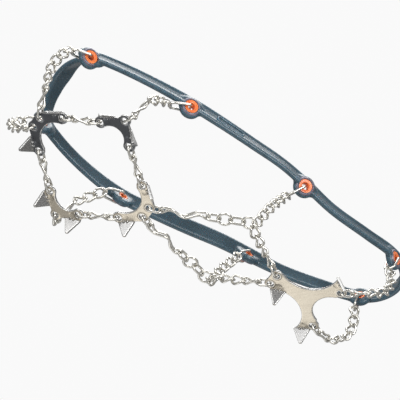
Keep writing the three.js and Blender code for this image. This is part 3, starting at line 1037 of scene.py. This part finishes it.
    def mesh(self, name: str, side: Side = Side.LEFT) -> bpy.types.Mesh:
        """Build the finished plate.

        Args:
            name: the mesh's name.
            side: the side of the shoe that it lies on; left for a middle plate.

        Returns:
            The mesh in the frame.
        """
        bm = self._bent_sheet()
        for x, y in self.holes:
            self._add_lip(bm, Vector((x, y, 0)), self.lip)
            self._add_lip(bm, Vector((x, y, -self.thickness)), -self.lip)
        for tooth in self.teeth:
            inner = math.tan(math.radians(90 - tooth.lean) / 2) * self.thickness
            root = Vector((*tooth.at, -self.thickness)) - tooth.out * inner
            for aside in (-self.swage, self.swage):
                self._swage(bm, tooth, aside, root, self.bead)
        merged = melted(mesh_from(bm, "sheet"), self.voxel, 1)
        punched = melted(subtract(merged, self._punches()), self.voxel, 4)
        place = side.mirror() @ self.pose.matrix()
        finished = bmesh.new()
        finished.from_mesh(punched)
        finished.transform(Matrix.Scale(1 / MILLIMETRE, 4))
        return mesh_from(finished, name, place, sharp=180)


def arc(x: float, y: float, radius: float, start: float, end: float) -> list[Vector]:
    """Return points round a circle from one bearing to another.

    Args:
        x: the centre's x.
        y: the centre's y.
        radius: the circle's radius.
        start: the first bearing, in degrees.
        end: the last bearing, in degrees.

    Returns:
        The points, about every seven degrees.
    """
    count = max(2, round(abs(end - start) / 7))
    angles = [math.radians(start + (end - start) * step / count) for step in range(count + 1)]
    return [Vector((x + math.cos(a) * radius, y + math.sin(a) * radius, 0)) for a in angles]


def both_ways(half: list[Vector], over_x: bool) -> list[Vector]:
    """Close half an outline with its mirror image.

    Args:
        half: the half outline.
        over_x: True to mirror across the x axis, False across the y axis.

    Returns:
        The whole outline.
    """
    flip = Vector((1, -1, 1)) if over_x else Vector((-1, 1, 1))
    return [*half, *reversed([point * flip for point in half])]


class PlateShapes:
    """The three stampings: the crescent, the small side plate and the heel plate."""

    RIM = 4.3

    @classmethod
    def crescent(cls, pose: Pose) -> Plate:
        """Return the crescent used at the toe and at the middle of the foot."""
        tooth = Tooth((-6, 17.5), 45)
        near, far = tooth.ends()
        half = [
            *arc(0, 4.8, cls.RIM, -30, 60),
            near,
            far,
            *arc(-12.7, 17.7, cls.RIM, 60, 245),
            *arc(-20.5, 0, 14.5, 72, 8),
        ]
        holes = [(0, 4.8), (0, -4.8), (-12.7, 17.7), (-12.7, -17.7)]
        return Plate(pose, both_ways(half, True), holes, [tooth, tooth.mirrored(True)])

    @classmethod
    def side(cls, pose: Pose) -> Plate:
        """Return the small plate beside the ball of the foot."""
        tooth = Tooth((12, 7.7), 55)
        lower, upper = tooth.ends()
        half = [
            *arc(0, 14, cls.RIM, 80, -10),
            upper,
            lower,
            *arc(12.6, 0, cls.RIM, 40, -162),
            *arc(0, -4, 9, 18, 84),
        ]
        holes = [(0, 14), (12.6, 0), (-12.6, 0)]
        return Plate(pose, both_ways(half, False), holes, [tooth, tooth.mirrored(False)])

    @classmethod
    def heel(cls, pose: Pose) -> Plate:
        """Return the heel plate, which has a third tooth on its right arm."""
        rear = Tooth((-103.6, 27.2), 126)
        side = Tooth((-72, -7.2), -112, base=11)
        ends = sorted(rear.ends(), key=lambda point: -point.x)
        half = [
            *arc(-64.6, 4.4, cls.RIM, -30, 100),
            *arc(-78, 27.2, 21.8, -62, -183),
            *ends,
            *arc(-107.7, 19.2, cls.RIM, 110, 262),
            *arc(-113, 0, 14.4, 68, 6),
        ]
        holes = [(-64.6, 4.4), (-64.6, -4.4), (-107.7, 19.2), (-107.7, -19.2)]
        bend = sorted(side.ends(), key=lambda point: point.x)
        outline = both_ways(half, True)
        swept = [point for point in outline if point.y > 0 or not bend[0].x < point.x < bend[1].x]
        place = max(index for index, point in enumerate(swept) if point.x < bend[0].x and point.y < 0)
        outline = [*swept[: place + 1], *bend, *swept[place + 1 :]]
        return Plate(pose, outline, holes, [rear, rear.mirrored(True), side])


@dataclass
class Plates:
    """All five plates."""

    toe: Plate = field(default_factory=lambda: PlateShapes.crescent(Pose((129.8, 0, 22.2), 18.6)))
    side: Plate = field(default_factory=lambda: PlateShapes.side(Pose((84.2, 38.1, 6.4), 16, 3.5)))
    midfoot: Plate = field(
        default_factory=lambda: PlateShapes.crescent(Pose((36.9, 0, -3.8), 6, turn=180))
    )
    heel: Plate = field(default_factory=lambda: PlateShapes.heel(Pose((0, 0, 0))))

    def build(self, shop: Workshop) -> None:
        """Make the plates."""
        # The toe plate and the left ball plate take the steel with the painted dark reflection; the
        # right ball plate, the same stamping, takes the lit copy.
        for name, plate, finish, side in (
            ("toe_plate", self.toe, "dark", Side.LEFT),
            ("ball_plate_left", self.side, "dark", Side.LEFT),
            ("ball_plate_right", self.side, "pale", Side.RIGHT),
            ("midfoot_plate", self.midfoot, "pale", Side.LEFT),
            ("heel_plate", self.heel, "pale", Side.LEFT),
        ):
            mesh = plate.mesh(name, side)
            shop.mount(f"{name}_steel", mesh, finish, name, [name])
            LOG.info("%s: %d faces", name, len(mesh.polygons))


# ---- harness -------------------------------------------------------------------------------
@dataclass(frozen=True)
class Anchor:
    """One eyelet of the left side: its middle, the way its face looks, and its hook's end."""

    name: str
    eyelet: tuple[float, float, float]
    face: tuple[float, float, float]
    hook_end: tuple[float, float, float]
    tab: float = 4.6

    @property
    def pull(self) -> Vector:
        """The way the hook pulls."""
        return (Vector(self.hook_end) - Vector(self.eyelet)).normalized()

    @property
    def out(self) -> Vector:
        """The way out of the tab's face."""
        return axes(self.pull, Vector(self.face))[0]

    @property
    def middle(self) -> Vector:
        """The middle of the tab's thickness, on the eyelet's axis."""
        return Vector(self.eyelet) - self.out * self.tab / 2

    @property
    def end(self) -> Vector:
        """The centre of the wire at the hook's far end."""
        reach = (Vector(self.hook_end) - Vector(self.eyelet)).length
        return self.middle + self.pull * reach

    def frame(self, side: Side) -> Matrix:
        """Return the eyelet's axes, z out of the tab, on one side of the shoe."""
        out, pull = side.place(self.out), side.place(self.pull)
        turn = Matrix((pull.cross(out), pull, out)).transposed()
        return Matrix.Translation(side.place(self.middle)) @ turn.to_4x4()


ANCHORS = (
    Anchor("toe", (118.9, 39.1, 63), (0, 1, -0.3), (132.4, 40.6, 59.4)),
    Anchor("ball", (43.8, 53.2, 52.9), (0, 1, -0.3), (58.2, 51.2, 47.6)),
    Anchor("arch", (-54.6, 42.5, 52.1), (0, 0.9, -0.46), (-46.2, 37, 41.4)),
    Anchor("heel", (-139.8, 24.7, 54.1), (-0.5, 0.86, 0), (-138, 26, 41.2)),
)


def spun(profile: Sequence[tuple[float, float]], steps: int = 40) -> bmesh.types.BMesh:
    """Turn a closed outline about z.

    Args:
        profile: radius and height of each corner, in order.
        steps: the number of steps in the turn.

    Returns:
        The turned shape.
    """
    bm = bmesh.new()
    spin_round(bm, [Vector((radius, 0, height)) for radius, height in profile], Vector(), steps)
    return bm


@dataclass
class Band:
    """The elastic band: its stations from toe to heel on the left, and its section.

    A station is its middle, half its height, and how far its outer face looks up.
    """

    stations: tuple[tuple[tuple[float, float, float], float, float], ...] = (
        ((125, 0, 78), 6.5, 65),
        ((124.5, 13, 76.5), 6.2, 55),
        ((122, 26, 72.5), 5.8, 35),
        ((116.5, 36.5, 68), 5.6, 14),
        ((103, 42.5, 64.6), 5.4, 8),
        ((76, 49, 60), 5.6, 6),
        ((44, 52.2, 57), 6.4, 6),
        ((18, 50.6, 57.4), 6.4, 8),
        ((-8, 47.8, 58), 6.6, 12),
        ((-34, 44.6, 58.6), 6.4, 12),
        ((-56, 41, 56), 6.2, 8),
        ((-80, 36.4, 52.6), 5.4, 6),
        ((-112, 31, 54), 5.4, 6),
        ((-137, 25.4, 56.4), 5.6, 4),
        ((-151, 15.4, 58.6), 6.2, 0),
        ((-156.5, 0, 60), 7, 0),
    )
    thickness: float = 4.6
    recess: float = 0.42
    per_station: int = 9
    section: int = 36

    def ring(self) -> list[tuple[Vector, float, float]]:
        """Return the stations all the way round."""
        left = [(Vector(at), half, tilt) for at, half, tilt in self.stations]
        right = [(Side.RIGHT.place(at), half, tilt) for at, half, tilt in left[-2:0:-1]]
        return [*left, *right]

    @staticmethod
    def spline(points: Sequence[Vector], t: float) -> Vector:
        """Return a point on the smooth curve from the second of four points to the third."""
        knots = [0.0]
        for start, end in zip(points, points[1:]):
            knots.append(knots[-1] + math.sqrt((end - start).length))
        at = knots[1] + (knots[2] - knots[1]) * t
        level = list(points)
        for order in (1, 2, 3):
            level = [
                level[i].lerp(level[i + 1], (at - low) / (high - low))
                for i, (low, high) in enumerate(knot_pairs(knots, order))
            ]
        return level[0]

    def sections(self) -> list[tuple[Vector, Vector, Vector, float]]:
        """Return each section's middle, the ways up and out, and half its height."""
        ring = self.ring()
        count = len(ring)
        middles, sizes = [], []
        for index in range(count):
            points, halves, tilts = zip(*(ring[(index + step) % count] for step in (-1, 0, 1, 2)))
            for step in range(self.per_station):
                t = step / self.per_station
                middles.append(self.spline(points, t))
                sizes.append((curve_value(*halves, t), curve_value(*tilts, t)))
        rows = []
        for index, (middle, (half, tilt)) in enumerate(zip(middles, sizes)):
            along = (middles[(index + 1) % len(middles)] - middles[index - 1]).normalized()
            level = Vector((along.y, -along.x, 0)).normalized()
            if level.dot(Vector((middle.x + 20, middle.y, 0))) < 0:
                level.negate()
            lift = math.radians(tilt)
            out = axes(along, level * math.cos(lift) + UP * math.sin(lift))[0]
            up = along.cross(out)
            rows.append((middle, up if up.z > 0 else -up, out, half))
        return rows

    def _outline(self, index: int, half: float) -> tuple[float, float]:
        """Return one point of the section.

        Args:
            index: its place round the section.
            half: half the band's height there.

        Returns:
            How far up and how far out it lies.
        """
        face = self.section // 2
        share = (index % face + 0.5) / face
        height = -math.cos(math.pi * share) * (1 if index < face else -1)
        depth = self.thickness / 2 * (1 - abs(height) ** 5) ** 0.5
        web = 1 - smooth((abs(height) - 0.42) / 0.25)
        if index < face:
            return height * half, depth * (1 - self.recess * web)
        return height * half, -depth * (1 - 0.12 * web)

    def shape(self) -> bmesh.types.BMesh:
        """Return the band as a closed loop of bridged sections."""
        bm = bmesh.new()
        loops = []
        for middle, up, out, half in self.sections():
            made = bmesh.ops.create_circle(bm, segments=self.section, radius=1)["verts"]
            made.sort(key=lambda vert: math.atan2(vert.co.y, vert.co.x))
            for index, vert in enumerate(made):
                rise, depth = self._outline(index, half)
                vert.co = middle + up * rise + out * depth
            loops.append(list({edge for vert in made for edge in vert.link_edges}))
        for here, there in zip(loops, loops[1:] + loops[:1]):
            bmesh.ops.bridge_loops(bm, edges=here + there)
        return bm


def knot_pairs(knots: Sequence[float], order: int) -> list[tuple[float, float]]:
    """Return the pairs of knots that one round of a smooth curve's blending uses."""
    if order == 2:
        return [(knots[0], knots[2]), (knots[1], knots[3])]
    if order == 3:
        return [(knots[1], knots[2])]
    return list(zip(knots, knots[1:]))


@dataclass
class Harness:
    """The moulded band with its eight tabs, collars and eyelets."""

    band: Band = field(default_factory=Band)
    tab: float = 8.0
    voxel: float = 0.62
    bore: float = 3.75
    seat: float = 5.15
    half_tab: float = 2.3
    reach: float = 9.0
    web: tuple[float, float, float] = (1.3, 0.8, 0.92)
    rim: float = 1.3
    slot_at: float = 12.6
    slot_length: float = 24.0
    slot_height: float = 5.0

    def _tabs(self, bm: bmesh.types.BMesh) -> None:
        """Add the rounded tabs to the band."""
        flat = self.half_tab
        edge = [(0, flat), (self.tab - 1.3, flat), (self.tab - 0.4, 1.9), (self.tab, 1)]
        profile = [*((radius, -height) for radius, height in edge), *reversed(edge)]
        rows = self.band.sections()
        for anchor in ANCHORS:
            near = min(rows, key=lambda row: (row[0] - anchor.middle).length)
            along = near[1].cross(near[2])
            face = (anchor.out + near[2]).normalized()
            along = axes(face, along)[0]
            wide, long, thick = self.web
            web = Matrix((along * wide, face.cross(along) * long, face * thick)).transposed()
            centre = anchor.middle.lerp(near[0], 0.5)
            web_place = Matrix.Translation(centre) @ web.to_4x4()
            for side in Side:
                for place in (anchor.frame(side), side.mirror() @ web_place):
                    self._add_disc(bm, profile, place)

    @staticmethod
    def _add_disc(bm: bmesh.types.BMesh, profile: Sequence[tuple[float, float]], place: Matrix) -> None:
        """Add a turned disc.

        Args:
            bm: the shape it joins.
            profile: the outline that is turned.
            place: where the disc goes, in millimetres.
        """
        disc = spun(profile)
        disc.transform(place)
        bmesh.ops.remove_doubles(disc, verts=disc.verts, dist=1e-4)
        bmesh.ops.recalc_face_normals(disc, faces=disc.faces)
        spare = bpy.data.meshes.new("tab")
        disc.to_mesh(spare)
        disc.free()
        bm.from_mesh(spare)
        bpy.data.meshes.remove(spare)

    def _bores(self) -> bpy.types.Mesh:
        """Return the holes for the eyelets and the seats of their flanges."""
        bm = bmesh.new()
        for anchor in ANCHORS:
            for side in Side:
                for radius, low in ((self.bore, -self.reach), (self.seat, self.half_tab)):
                    middle = Matrix.Translation((0, 0, (low + self.reach) / 2))
                    add_cylinder(bm, radius, self.reach - low, anchor.frame(side) @ middle, 40)
        return mesh_from(bm, "bores")

    def _mould(self, shop: Workshop) -> None:
        """Make the band and tabs in one piece."""
        bm = self.band.shape()
        bmesh.ops.recalc_face_normals(bm, faces=bm.faces)
        self._tabs(bm)
        raw = bpy.data.meshes.new("raw_harness")
        bm.to_mesh(raw)
        bm.free()
        raw.transform(Matrix.Scale(MILLIMETRE, 4))

        solid = subtract(melted(raw, self.voxel, 8), self._bores())
        solid.name = "harness_elastomer"
        solid.shade_smooth()
        solid.set_sharp_from_angle(angle=math.radians(50))
        shop.mount("harness_elastomer", solid, "harness", "harness", ["harness"])
        LOG.info("harness: %d faces", len(solid.polygons))

    def _collar(self, shop: Workshop, anchor: Anchor, side: Side) -> None:
        """Make the dark collar round an eyelet."""
        profile = [
            (5.2, 1.9), (5.2, 2.7), (5.35, 3.05), (5.75, 3.25), (6.3, 3.1), (6.75, 2.6),
            (6.95, 2.1), (6.95, 1.9),
        ]
        mesh = mesh_from(spun(profile), "collar", anchor.frame(side))
        shop.mount(side.name(f"{anchor.name}_collar"), mesh, "collar", "harness")

    def _eyelet(self, shop: Workshop, anchor: Anchor, side: Side) -> None:
        """Make an eyelet: a bush with a dished, rounded flange."""
        profile = [
            (2.5, -2.2), (2.7, -2.35), (3.3, -2.35), (3.45, -2.2), (3.45, 2.42), (4.75, 2.42),
            (4.95, 2.6), (4.98, 2.8), (4.8, 3.02), (4.4, 3.08), (3.9, 2.98), (3.3, 2.98),
            (2.85, 2.9), (2.6, 2.7), (2.5, 2.4),
        ]
        mesh = mesh_from(spun(profile), "eyelet", anchor.frame(side))
        node = side.name(f"{anchor.name}_eyelet")
        shop.mount(f"{node}_bush", mesh, "eyelet", "harness", [node])

    def _slot(self, shop: Workshop, side: Side) -> None:
        """Make the raised oval rim in the band's outer face."""
        rows = [row for row in self.band.sections() if row[0].y > 0]
        middle, up, out, _ = min(rows, key=lambda row: abs(row[0].x - self.slot_at))
        along = up.cross(out)
        centre = middle + out * (self.band.thickness / 2 * (1 - self.band.recess) + 0.05)
        half = along * (self.slot_length - 2) / 2
        sizes = {"width": self.slot_height, "count": 64, "diameter": self.rim}
        rim = WireLoop(centre - half, centre + half, up, **sizes)
        name = side.name("size_slot_rim")
        shop.mount(name, rim.mesh(name, side), "harness", "harness")

    def build(self, shop: Workshop) -> None:
        """Make the harness and all that is moulded or pressed into it."""
        self._mould(shop)
        for side in Side:
            self._slot(shop, side)
            for anchor in ANCHORS:
                self._collar(shop, anchor, side)
                self._eyelet(shop, anchor, side)


# ---- chains --------------------------------------------------------------------------------
@dataclass(frozen=True)
class RingSize:
    """A small oval ring through a plate's hole."""

    length: float = 9.0
    width: float = 6.2

    def through(self, plate: Plate, index: int, towards: Vector) -> WireLoop:
        """Hang a ring in a hole.

        Args:
            plate: the plate.
            index: the hole's place in the plate's list.
            towards: the point that the ring is pulled to.

        Returns:
            The ring; its end is the side that takes the next piece.
        """
        centre = plate.hole_centre(index)
        normal = plate.normal()
        along = axes(normal, towards - centre)[0]
        return WireLoop(centre, centre + along * self.length, normal, width=self.width)


RING = RingSize()


def inside(loop: WireLoop) -> Vector:
    """Return where a wire's centre lies when it hangs inside a loop's end."""
    return loop.end - loop.along * (WIRE + TOUCH)


def long_link(
    first_spread: Vector, start: Vector, end: Vector, last_spread: Vector, **sizes: float
) -> WireLoop:
    """Make a long slim link between two pieces.

    Args:
        first_spread: the way its strands lie apart at its start.
        start: the centre of its first end wire.
        end: the centre of its last end wire.
        last_spread: the way its strands lie apart at its end.
        sizes: its width at the eyes and at the waist, and the number of its points.

    Returns:
        The link, twisted by a quarter to three quarters of a turn.
    """
    along = (end - start).normalized()
    first, goal = axes(along, first_spread)[0], axes(along, last_spread)[0]
    twist = angle_about(along, first, goal) % math.pi
    if twist < math.radians(60):
        twist += math.pi
    return WireLoop(start, end, first, twist=twist, **sizes)


@dataclass(frozen=True)
class Chain:
    """A chain from a hook down to a plate's hole, or to the arch's joint ring."""

    anchor: Anchor
    route: tuple[tuple[float, float, float], ...]
    links: int
    hole: tuple[str, int] | None = None

    def hook(self) -> WireLoop:
        """Return the hook, wide where it straddles the tab and narrow at its end."""
        return WireLoop(self.anchor.middle, self.anchor.end, self.anchor.out, **HOOK)

    def pieces(self, plates: Plates, joint: WireLoop) -> list[WireLoop]:
        """Return the chain's loops in order.

        Args:
            plates: the plates it may end in.
            joint: the arch's joint ring.

        Returns:
            Its links and, where it ends in a plate, its long link and its ring.
        """
        way = [Vector(point) for point in self.route]
        first = (way[0] - self.anchor.end).normalized()
        start = self.anchor.end - first * (WIRE + TOUCH)
        spread = axes(first, self.anchor.out.cross(first))[0]
        if self.hole is None:
            middle = (joint.start + joint.end) / 2
            outer = axes(UP, way[-1] - middle)[0]
            wire = middle + outer * joint.width / 2
            pull = (way[-1] - wire).normalized()
            end = wire - pull * (WIRE + TOUCH)
            return LinkRun([start, *way, end], self.links, spread, outer).loops()
        plate_name, index = self.hole
        plate = getattr(plates, plate_name)
        ring = RING.through(plate, index, way[-1])
        run = LinkRun([start, *way], self.links, spread).loops()
        far = inside(ring)
        back = (way[-1] - far).normalized()
        bar_spread = run[-1].end_spread.cross(run[-1].along)
        bar = long_link(
            bar_spread,
            way[-1] + back * (WIRE + TOUCH),
            far,
            ring.along.cross(plate.normal()),
            **BAR,
        )
        return [*run, bar, ring]

    def build(self, shop: Workshop, plates: Plates, joint: WireLoop) -> None:
        """Make the hook and the chain on both sides."""
        loops = self.pieces(plates, joint)
        for side in Side:
            hook = side.name(f"{self.anchor.name}_hook")
            mesh = self.hook().mesh(f"{hook}_wire", side)
            shop.mount(f"{hook}_wire", mesh, "wire", hook, [hook])
            chain = side.name(f"{self.anchor.name}_chain")
            for number, loop in enumerate(loops, start=1):
                name = side.name(f"{self.anchor.name}_link_{number}")
                shop.mount(name, loop.mesh(name, side), "wire", chain, [chain])


@dataclass
class Arch:
    """The joint ring of one side, and the runs from it to the midfoot and heel plates."""

    middle: tuple[float, float, float] = (-26.5, 31.2, 1.6)
    ring: float = 9.8
    joint_link: float = 10.9
    wave_link: float = 9.4
    wave_height: float = 2.6
    crests: float = 1.5
    rear_links: int = 3
    rear_reach: float = 25.5

    def joint_ring(self, plates: Plates) -> WireLoop:
        """Return the ring where the three chains of one side meet."""
        centre = Vector(self.middle)
        along = axes(UP, plates.midfoot.hole_centre(1) - centre)[0]
        half = along * self.ring / 2
        return WireLoop(centre - half, centre + half, along.cross(UP), width=self.ring)

    def front(self, plates: Plates) -> dict[str, WireLoop]:
        """Return the loops from the joint ring to the midfoot plate, by the nodes' names."""
        joint = self.joint_ring(plates)
        ring = RING.through(plates.midfoot, 1, Vector(self.middle))
        start, end = inside(joint), inside(ring)
        along = (end - start).normalized()
        flat = along.cross(UP).normalized()
        rise = flat.cross(along)
        loops = {}
        place = 0.0
        for name, length, spread, width in (
            ("arch_joint_link", self.joint_link, rise, LINK_WIDTH),
            ("arch_ring", self.ring, flat, self.ring),
            ("arch_wave_link", self.wave_link, rise, LINK_WIDTH),
        ):
            first = start + along * place
            loops[name] = WireLoop(first, first + along * length, spread, width=width)
            place += length - WIRE - TOUCH

        def swing(share: float) -> Vector:
            """Return how far the wavy link is off its straight line."""
            wave = math.sin(2 * math.pi * self.crests * share) * math.sin(math.pi * share) ** 0.5
            return flat * -self.wave_height * wave

        first = start + along * place
        loops["arch_wave"] = WireLoop(first, end, flat, twist=math.pi, swing=swing, **WAVE)
        loops["midfoot_ring"] = ring
        return loops

    def rear(self, plates: Plates) -> list[WireLoop]:
        """Return the loops from the joint ring back to the heel plate."""
        centre = Vector(self.middle)
        hole = plates.heel.hole_centre(0)
        way = axes(UP, hole - centre)[0]
        wire = centre + way * self.ring / 2
        start = wire - way * (WIRE + TOUCH)
        ring = RING.through(plates.heel, 0, start)
        back = (ring.end - start).normalized()
        far = start + back * self.rear_reach
        run = LinkRun([start, far], self.rear_links, UP).loops()
        bar = long_link(
            run[-1].end_spread.cross(run[-1].along),
            far - back * (WIRE + TOUCH),
            inside(ring),
            ring.along.cross(UP),
            **BAR,
        )
        return [*run, bar, ring]

    def build(self, shop: Workshop, plates: Plates) -> None:
        """Make both arches."""
        for side in Side:
            body = side.name("arch_rear")
            node = side.name("arch_joint")
            mesh = self.joint_ring(plates).mesh(f"{node}_ring", side)
            shop.mount(f"{node}_ring", mesh, "wire", body, [node])
            for number, loop in enumerate(self.rear(plates), start=1):
                name = side.name(f"arch_rear_link_{number}")
                node = side.name("arch_heel_chain")
                shop.mount(name, loop.mesh(name, side), "wire", body, [node])
            for piece, loop in self.front(plates).items():
                node = side.name(piece)
                body = "midfoot_plate" if piece == "midfoot_ring" else node
                shop.mount(f"{node}_wire", loop.mesh(f"{node}_wire", side), "wire", body, [node])


class Ties:
    """The long links that tie the ball plates to the toe and midfoot plates."""

    @staticmethod
    def loops(first: tuple[Plate, int], second: tuple[Plate, int]) -> list[WireLoop]:
        """Return a tie's inner ring, outer ring and long link.

        Args:
            first: the middle plate and its hole.
            second: the ball plate and its hole.

        Returns:
            The three loops.
        """
        inner = RING.through(*first, second[0].hole_centre(second[1]))
        outer = RING.through(*second, first[0].hole_centre(first[1]))
        link = long_link(
            inner.along.cross(first[0].normal()),
            inside(inner),
            inside(outer),
            outer.along.cross(second[0].normal()),
            **TIE,
        )
        return [inner, outer, link]

    def build(self, shop: Workshop, plates: Plates) -> None:
        """Make the four ties."""
        for tie, plate, hole, side_hole in (
            ("front_tie", "toe", 2, 1),
            ("rear_tie", "midfoot", 3, 2),
        ):
            loops = self.loops((getattr(plates, plate), hole), (plates.side, side_hole))
            for side in Side:
                bodies = (f"{plate}_plate", side.name("ball_plate"), side.name(tie))
                nodes = (
                    side.name(f"{tie}_inner_ring"),
                    side.name(f"{tie}_outer_ring"),
                    side.name(tie),
                )
                for loop, body, node in zip(loops, bodies, nodes):
                    name = f"{node}_wire"
                    shop.mount(name, loop.mesh(name, side), "wire", body, [node])


# ---- studio --------------------------------------------------------------------------------
@dataclass
class Studio:
    """The camera, the soft lights and the pale floor, in metres."""

    eye: tuple[float, float, float] = (0.3584, 1.2413, -1.4252)
    right: tuple[float, float, float] = (-0.857, 0.477, 0.197)
    down: tuple[float, float, float] = (-0.482, -0.606, -0.633)
    lens: float = 252.0
    sensor: float = 36.0
    floor_height: float = -2.6
    floor_half: float = 5.4
    white: float = 0.95
    target: tuple[float, float, float] = (0.0, 0.0, 0.03)
    table: tuple[float, float, float] = (-0.13, -0.69, -0.71)
    sky: tuple[tuple[float, float], ...] = (
        (0.02, 0.3), (0.3, 0.16), (0.42, 0.45), (0.5, 0.12), (0.62, 0.6), (0.8, 0.2), (0.97, 0.9),
    )

    def _ways(self) -> tuple[Vector, Vector, Vector]:
        """Return the camera's right, up and forward."""
        right = Vector(self.right).normalized()
        up = -axes(right, Vector(self.down))[0]
        return right, up, up.cross(right)

    def _camera(self) -> None:
        """Place the camera."""
        right, up, forward = self._ways()
        data = bpy.data.cameras.new("camera")
        data.lens = self.lens
        data.sensor_width = self.sensor
        data.clip_start = 0.05
        data.clip_end = 30
        camera = placed("camera", data)
        turn = Matrix((right, up, -forward)).transposed()
        camera.matrix_world = Matrix.Translation(self.eye) @ turn.to_4x4()
        bpy.context.scene.camera = camera

    def _light(self, name: str, way: Vector, distance: float, size: float, power: float) -> None:
        """Add a square soft light that looks at the object.

        Args:
            name: its name.
            way: the direction from the object to it.
            distance: how far away it is.
            size: its side.
            power: its power in watts.
        """
        data = bpy.data.lights.new(name, "AREA")
        data.shape = "SQUARE"
        data.size = size
        data.energy = power
        light = placed(name, data)
        place = Vector(self.target) + way.normalized() * distance
        light.matrix_world = Matrix.Translation(place) @ way.to_track_quat("Z", "Y").to_matrix().to_4x4()

    def _sky(self) -> None:
        """Give the surroundings a pale even light."""
        world = bpy.data.worlds.new("studio")
        world.use_nodes = True
        nodes, links = world.node_tree.nodes, world.node_tree.links
        way = nodes.new("ShaderNodeTexCoord")
        height = nodes.new("ShaderNodeSeparateXYZ")
        tone = nodes.new("ShaderNodeValToRGB")
        sight = nodes.new("ShaderNodeLightPath")
        choice = nodes.new("ShaderNodeMix")
        choice.data_type = "RGBA"
        for place, level in self.sky:
            stop = tone.color_ramp.elements.new(place)
            stop.color = (level, level, level, 1)
        for spare in (0, -1):
            tone.color_ramp.elements.remove(tone.color_ramp.elements[spare])
        spread = preset(nodes.new("ShaderNodeMapRange"), From_Min=-1)
        links.new(way.outputs["Generated"], height.inputs["Vector"])
        links.new(height.outputs["Z"], spread.inputs["Value"])
        links.new(spread.outputs["Result"], tone.inputs["Fac"])
        links.new(sight.outputs["Is Camera Ray"], choice.inputs["Factor"])
        links.new(tone.outputs["Color"], choice.inputs[6])
        choice.inputs[7].default_value = (self.white, self.white, self.white, 1)
        links.new(choice.outputs[2], nodes["Background"].inputs["Color"])
        bpy.context.scene.world = world

    def _floor(self) -> None:
        """Lay the pale floor, which the camera sees as even as the surroundings."""
        bm = bmesh.new()
        bmesh.ops.create_grid(bm, x_segments=1, y_segments=1, size=self.floor_half)
        bmesh.ops.translate(bm, verts=bm.verts, vec=(0, 0, self.floor_height))
        mesh = bpy.data.meshes.new("floor")
        bm.to_mesh(mesh)
        bm.free()
        material = bpy.data.materials.new("floor_paper")
        material.use_nodes = True
        nodes, links = material.node_tree.nodes, material.node_tree.links
        paper = nodes["Principled BSDF"]
        preset(paper, Base_Color=(0.82, 0.82, 0.81, 1), Roughness=0.9)
        glow = nodes.new("ShaderNodeEmission")
        preset(glow, Color=(self.white, self.white, self.white, 1))
        sight = nodes.new("ShaderNodeLightPath")
        choice = nodes.new("ShaderNodeMixShader")
        links.new(sight.outputs["Is Camera Ray"], choice.inputs["Fac"])
        links.new(paper.outputs["BSDF"], choice.inputs[1])
        links.new(glow.outputs["Emission"], choice.inputs[2])
        links.new(choice.outputs["Shader"], nodes["Material Output"].inputs["Surface"])
        mesh.materials.append(material)
        placed("floor", mesh)

    def build(self) -> None:
        """Make the studio."""
        bpy.context.scene.view_settings.view_transform = "Standard"
        right, up, forward = self._ways()
        self._camera()
        self._floor()
        self._sky()
        self._light("key", up * 1.2 - right * 0.7 - forward * 0.9, 1.3, 1.0, 11)
        self._light("side", right * 0.7 + up * 0.35 - forward * 0.76, 1.3, 0.55, 8)
        self._light("rim", up * 1.0 + forward * 0.9 + right * 0.2, 1.2, 0.8, 9)
        self._light("table", Vector(self.table), 1.2, 0.62, 1.7)


def main() -> None:
    """Build the cleats and the studio."""
    logging.basicConfig(level=logging.INFO, format="%(message)s")
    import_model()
    shop = Workshop()
    plates = Plates()
    arch = Arch()
    toe, ball, middle, heel = ANCHORS
    chains = (
        Chain(
            toe,
            ((137, 38.6, 54.6), (140.4, 33, 46), (140, 29, 37.5), (136.8, 21, 29.5)),
            6,
            ("toe", 0),
        ),
        Chain(ball, ((66, 54, 41), (74, 56.6, 32)), 3, ("side", 0)),
        Chain(middle, ((-36.6, 36.8, 21),), 6),
        Chain(heel, ((-140, 26.4, 27), (-135.6, 28, 11), (-124, 27.2, 3)), 6, ("heel", 2)),
    )
    Harness().build(shop)
    plates.build(shop)
    for chain in chains:
        chain.build(shop, plates, arch.joint_ring(plates))
        LOG.info("%s chain: %d links a side", chain.anchor.name, chain.links)
    arch.build(shop, plates)
    Ties().build(shop, plates)
    Studio().build()
    LOG.info("%d pieces", shop.made)


if __name__ == "__main__":
    main()
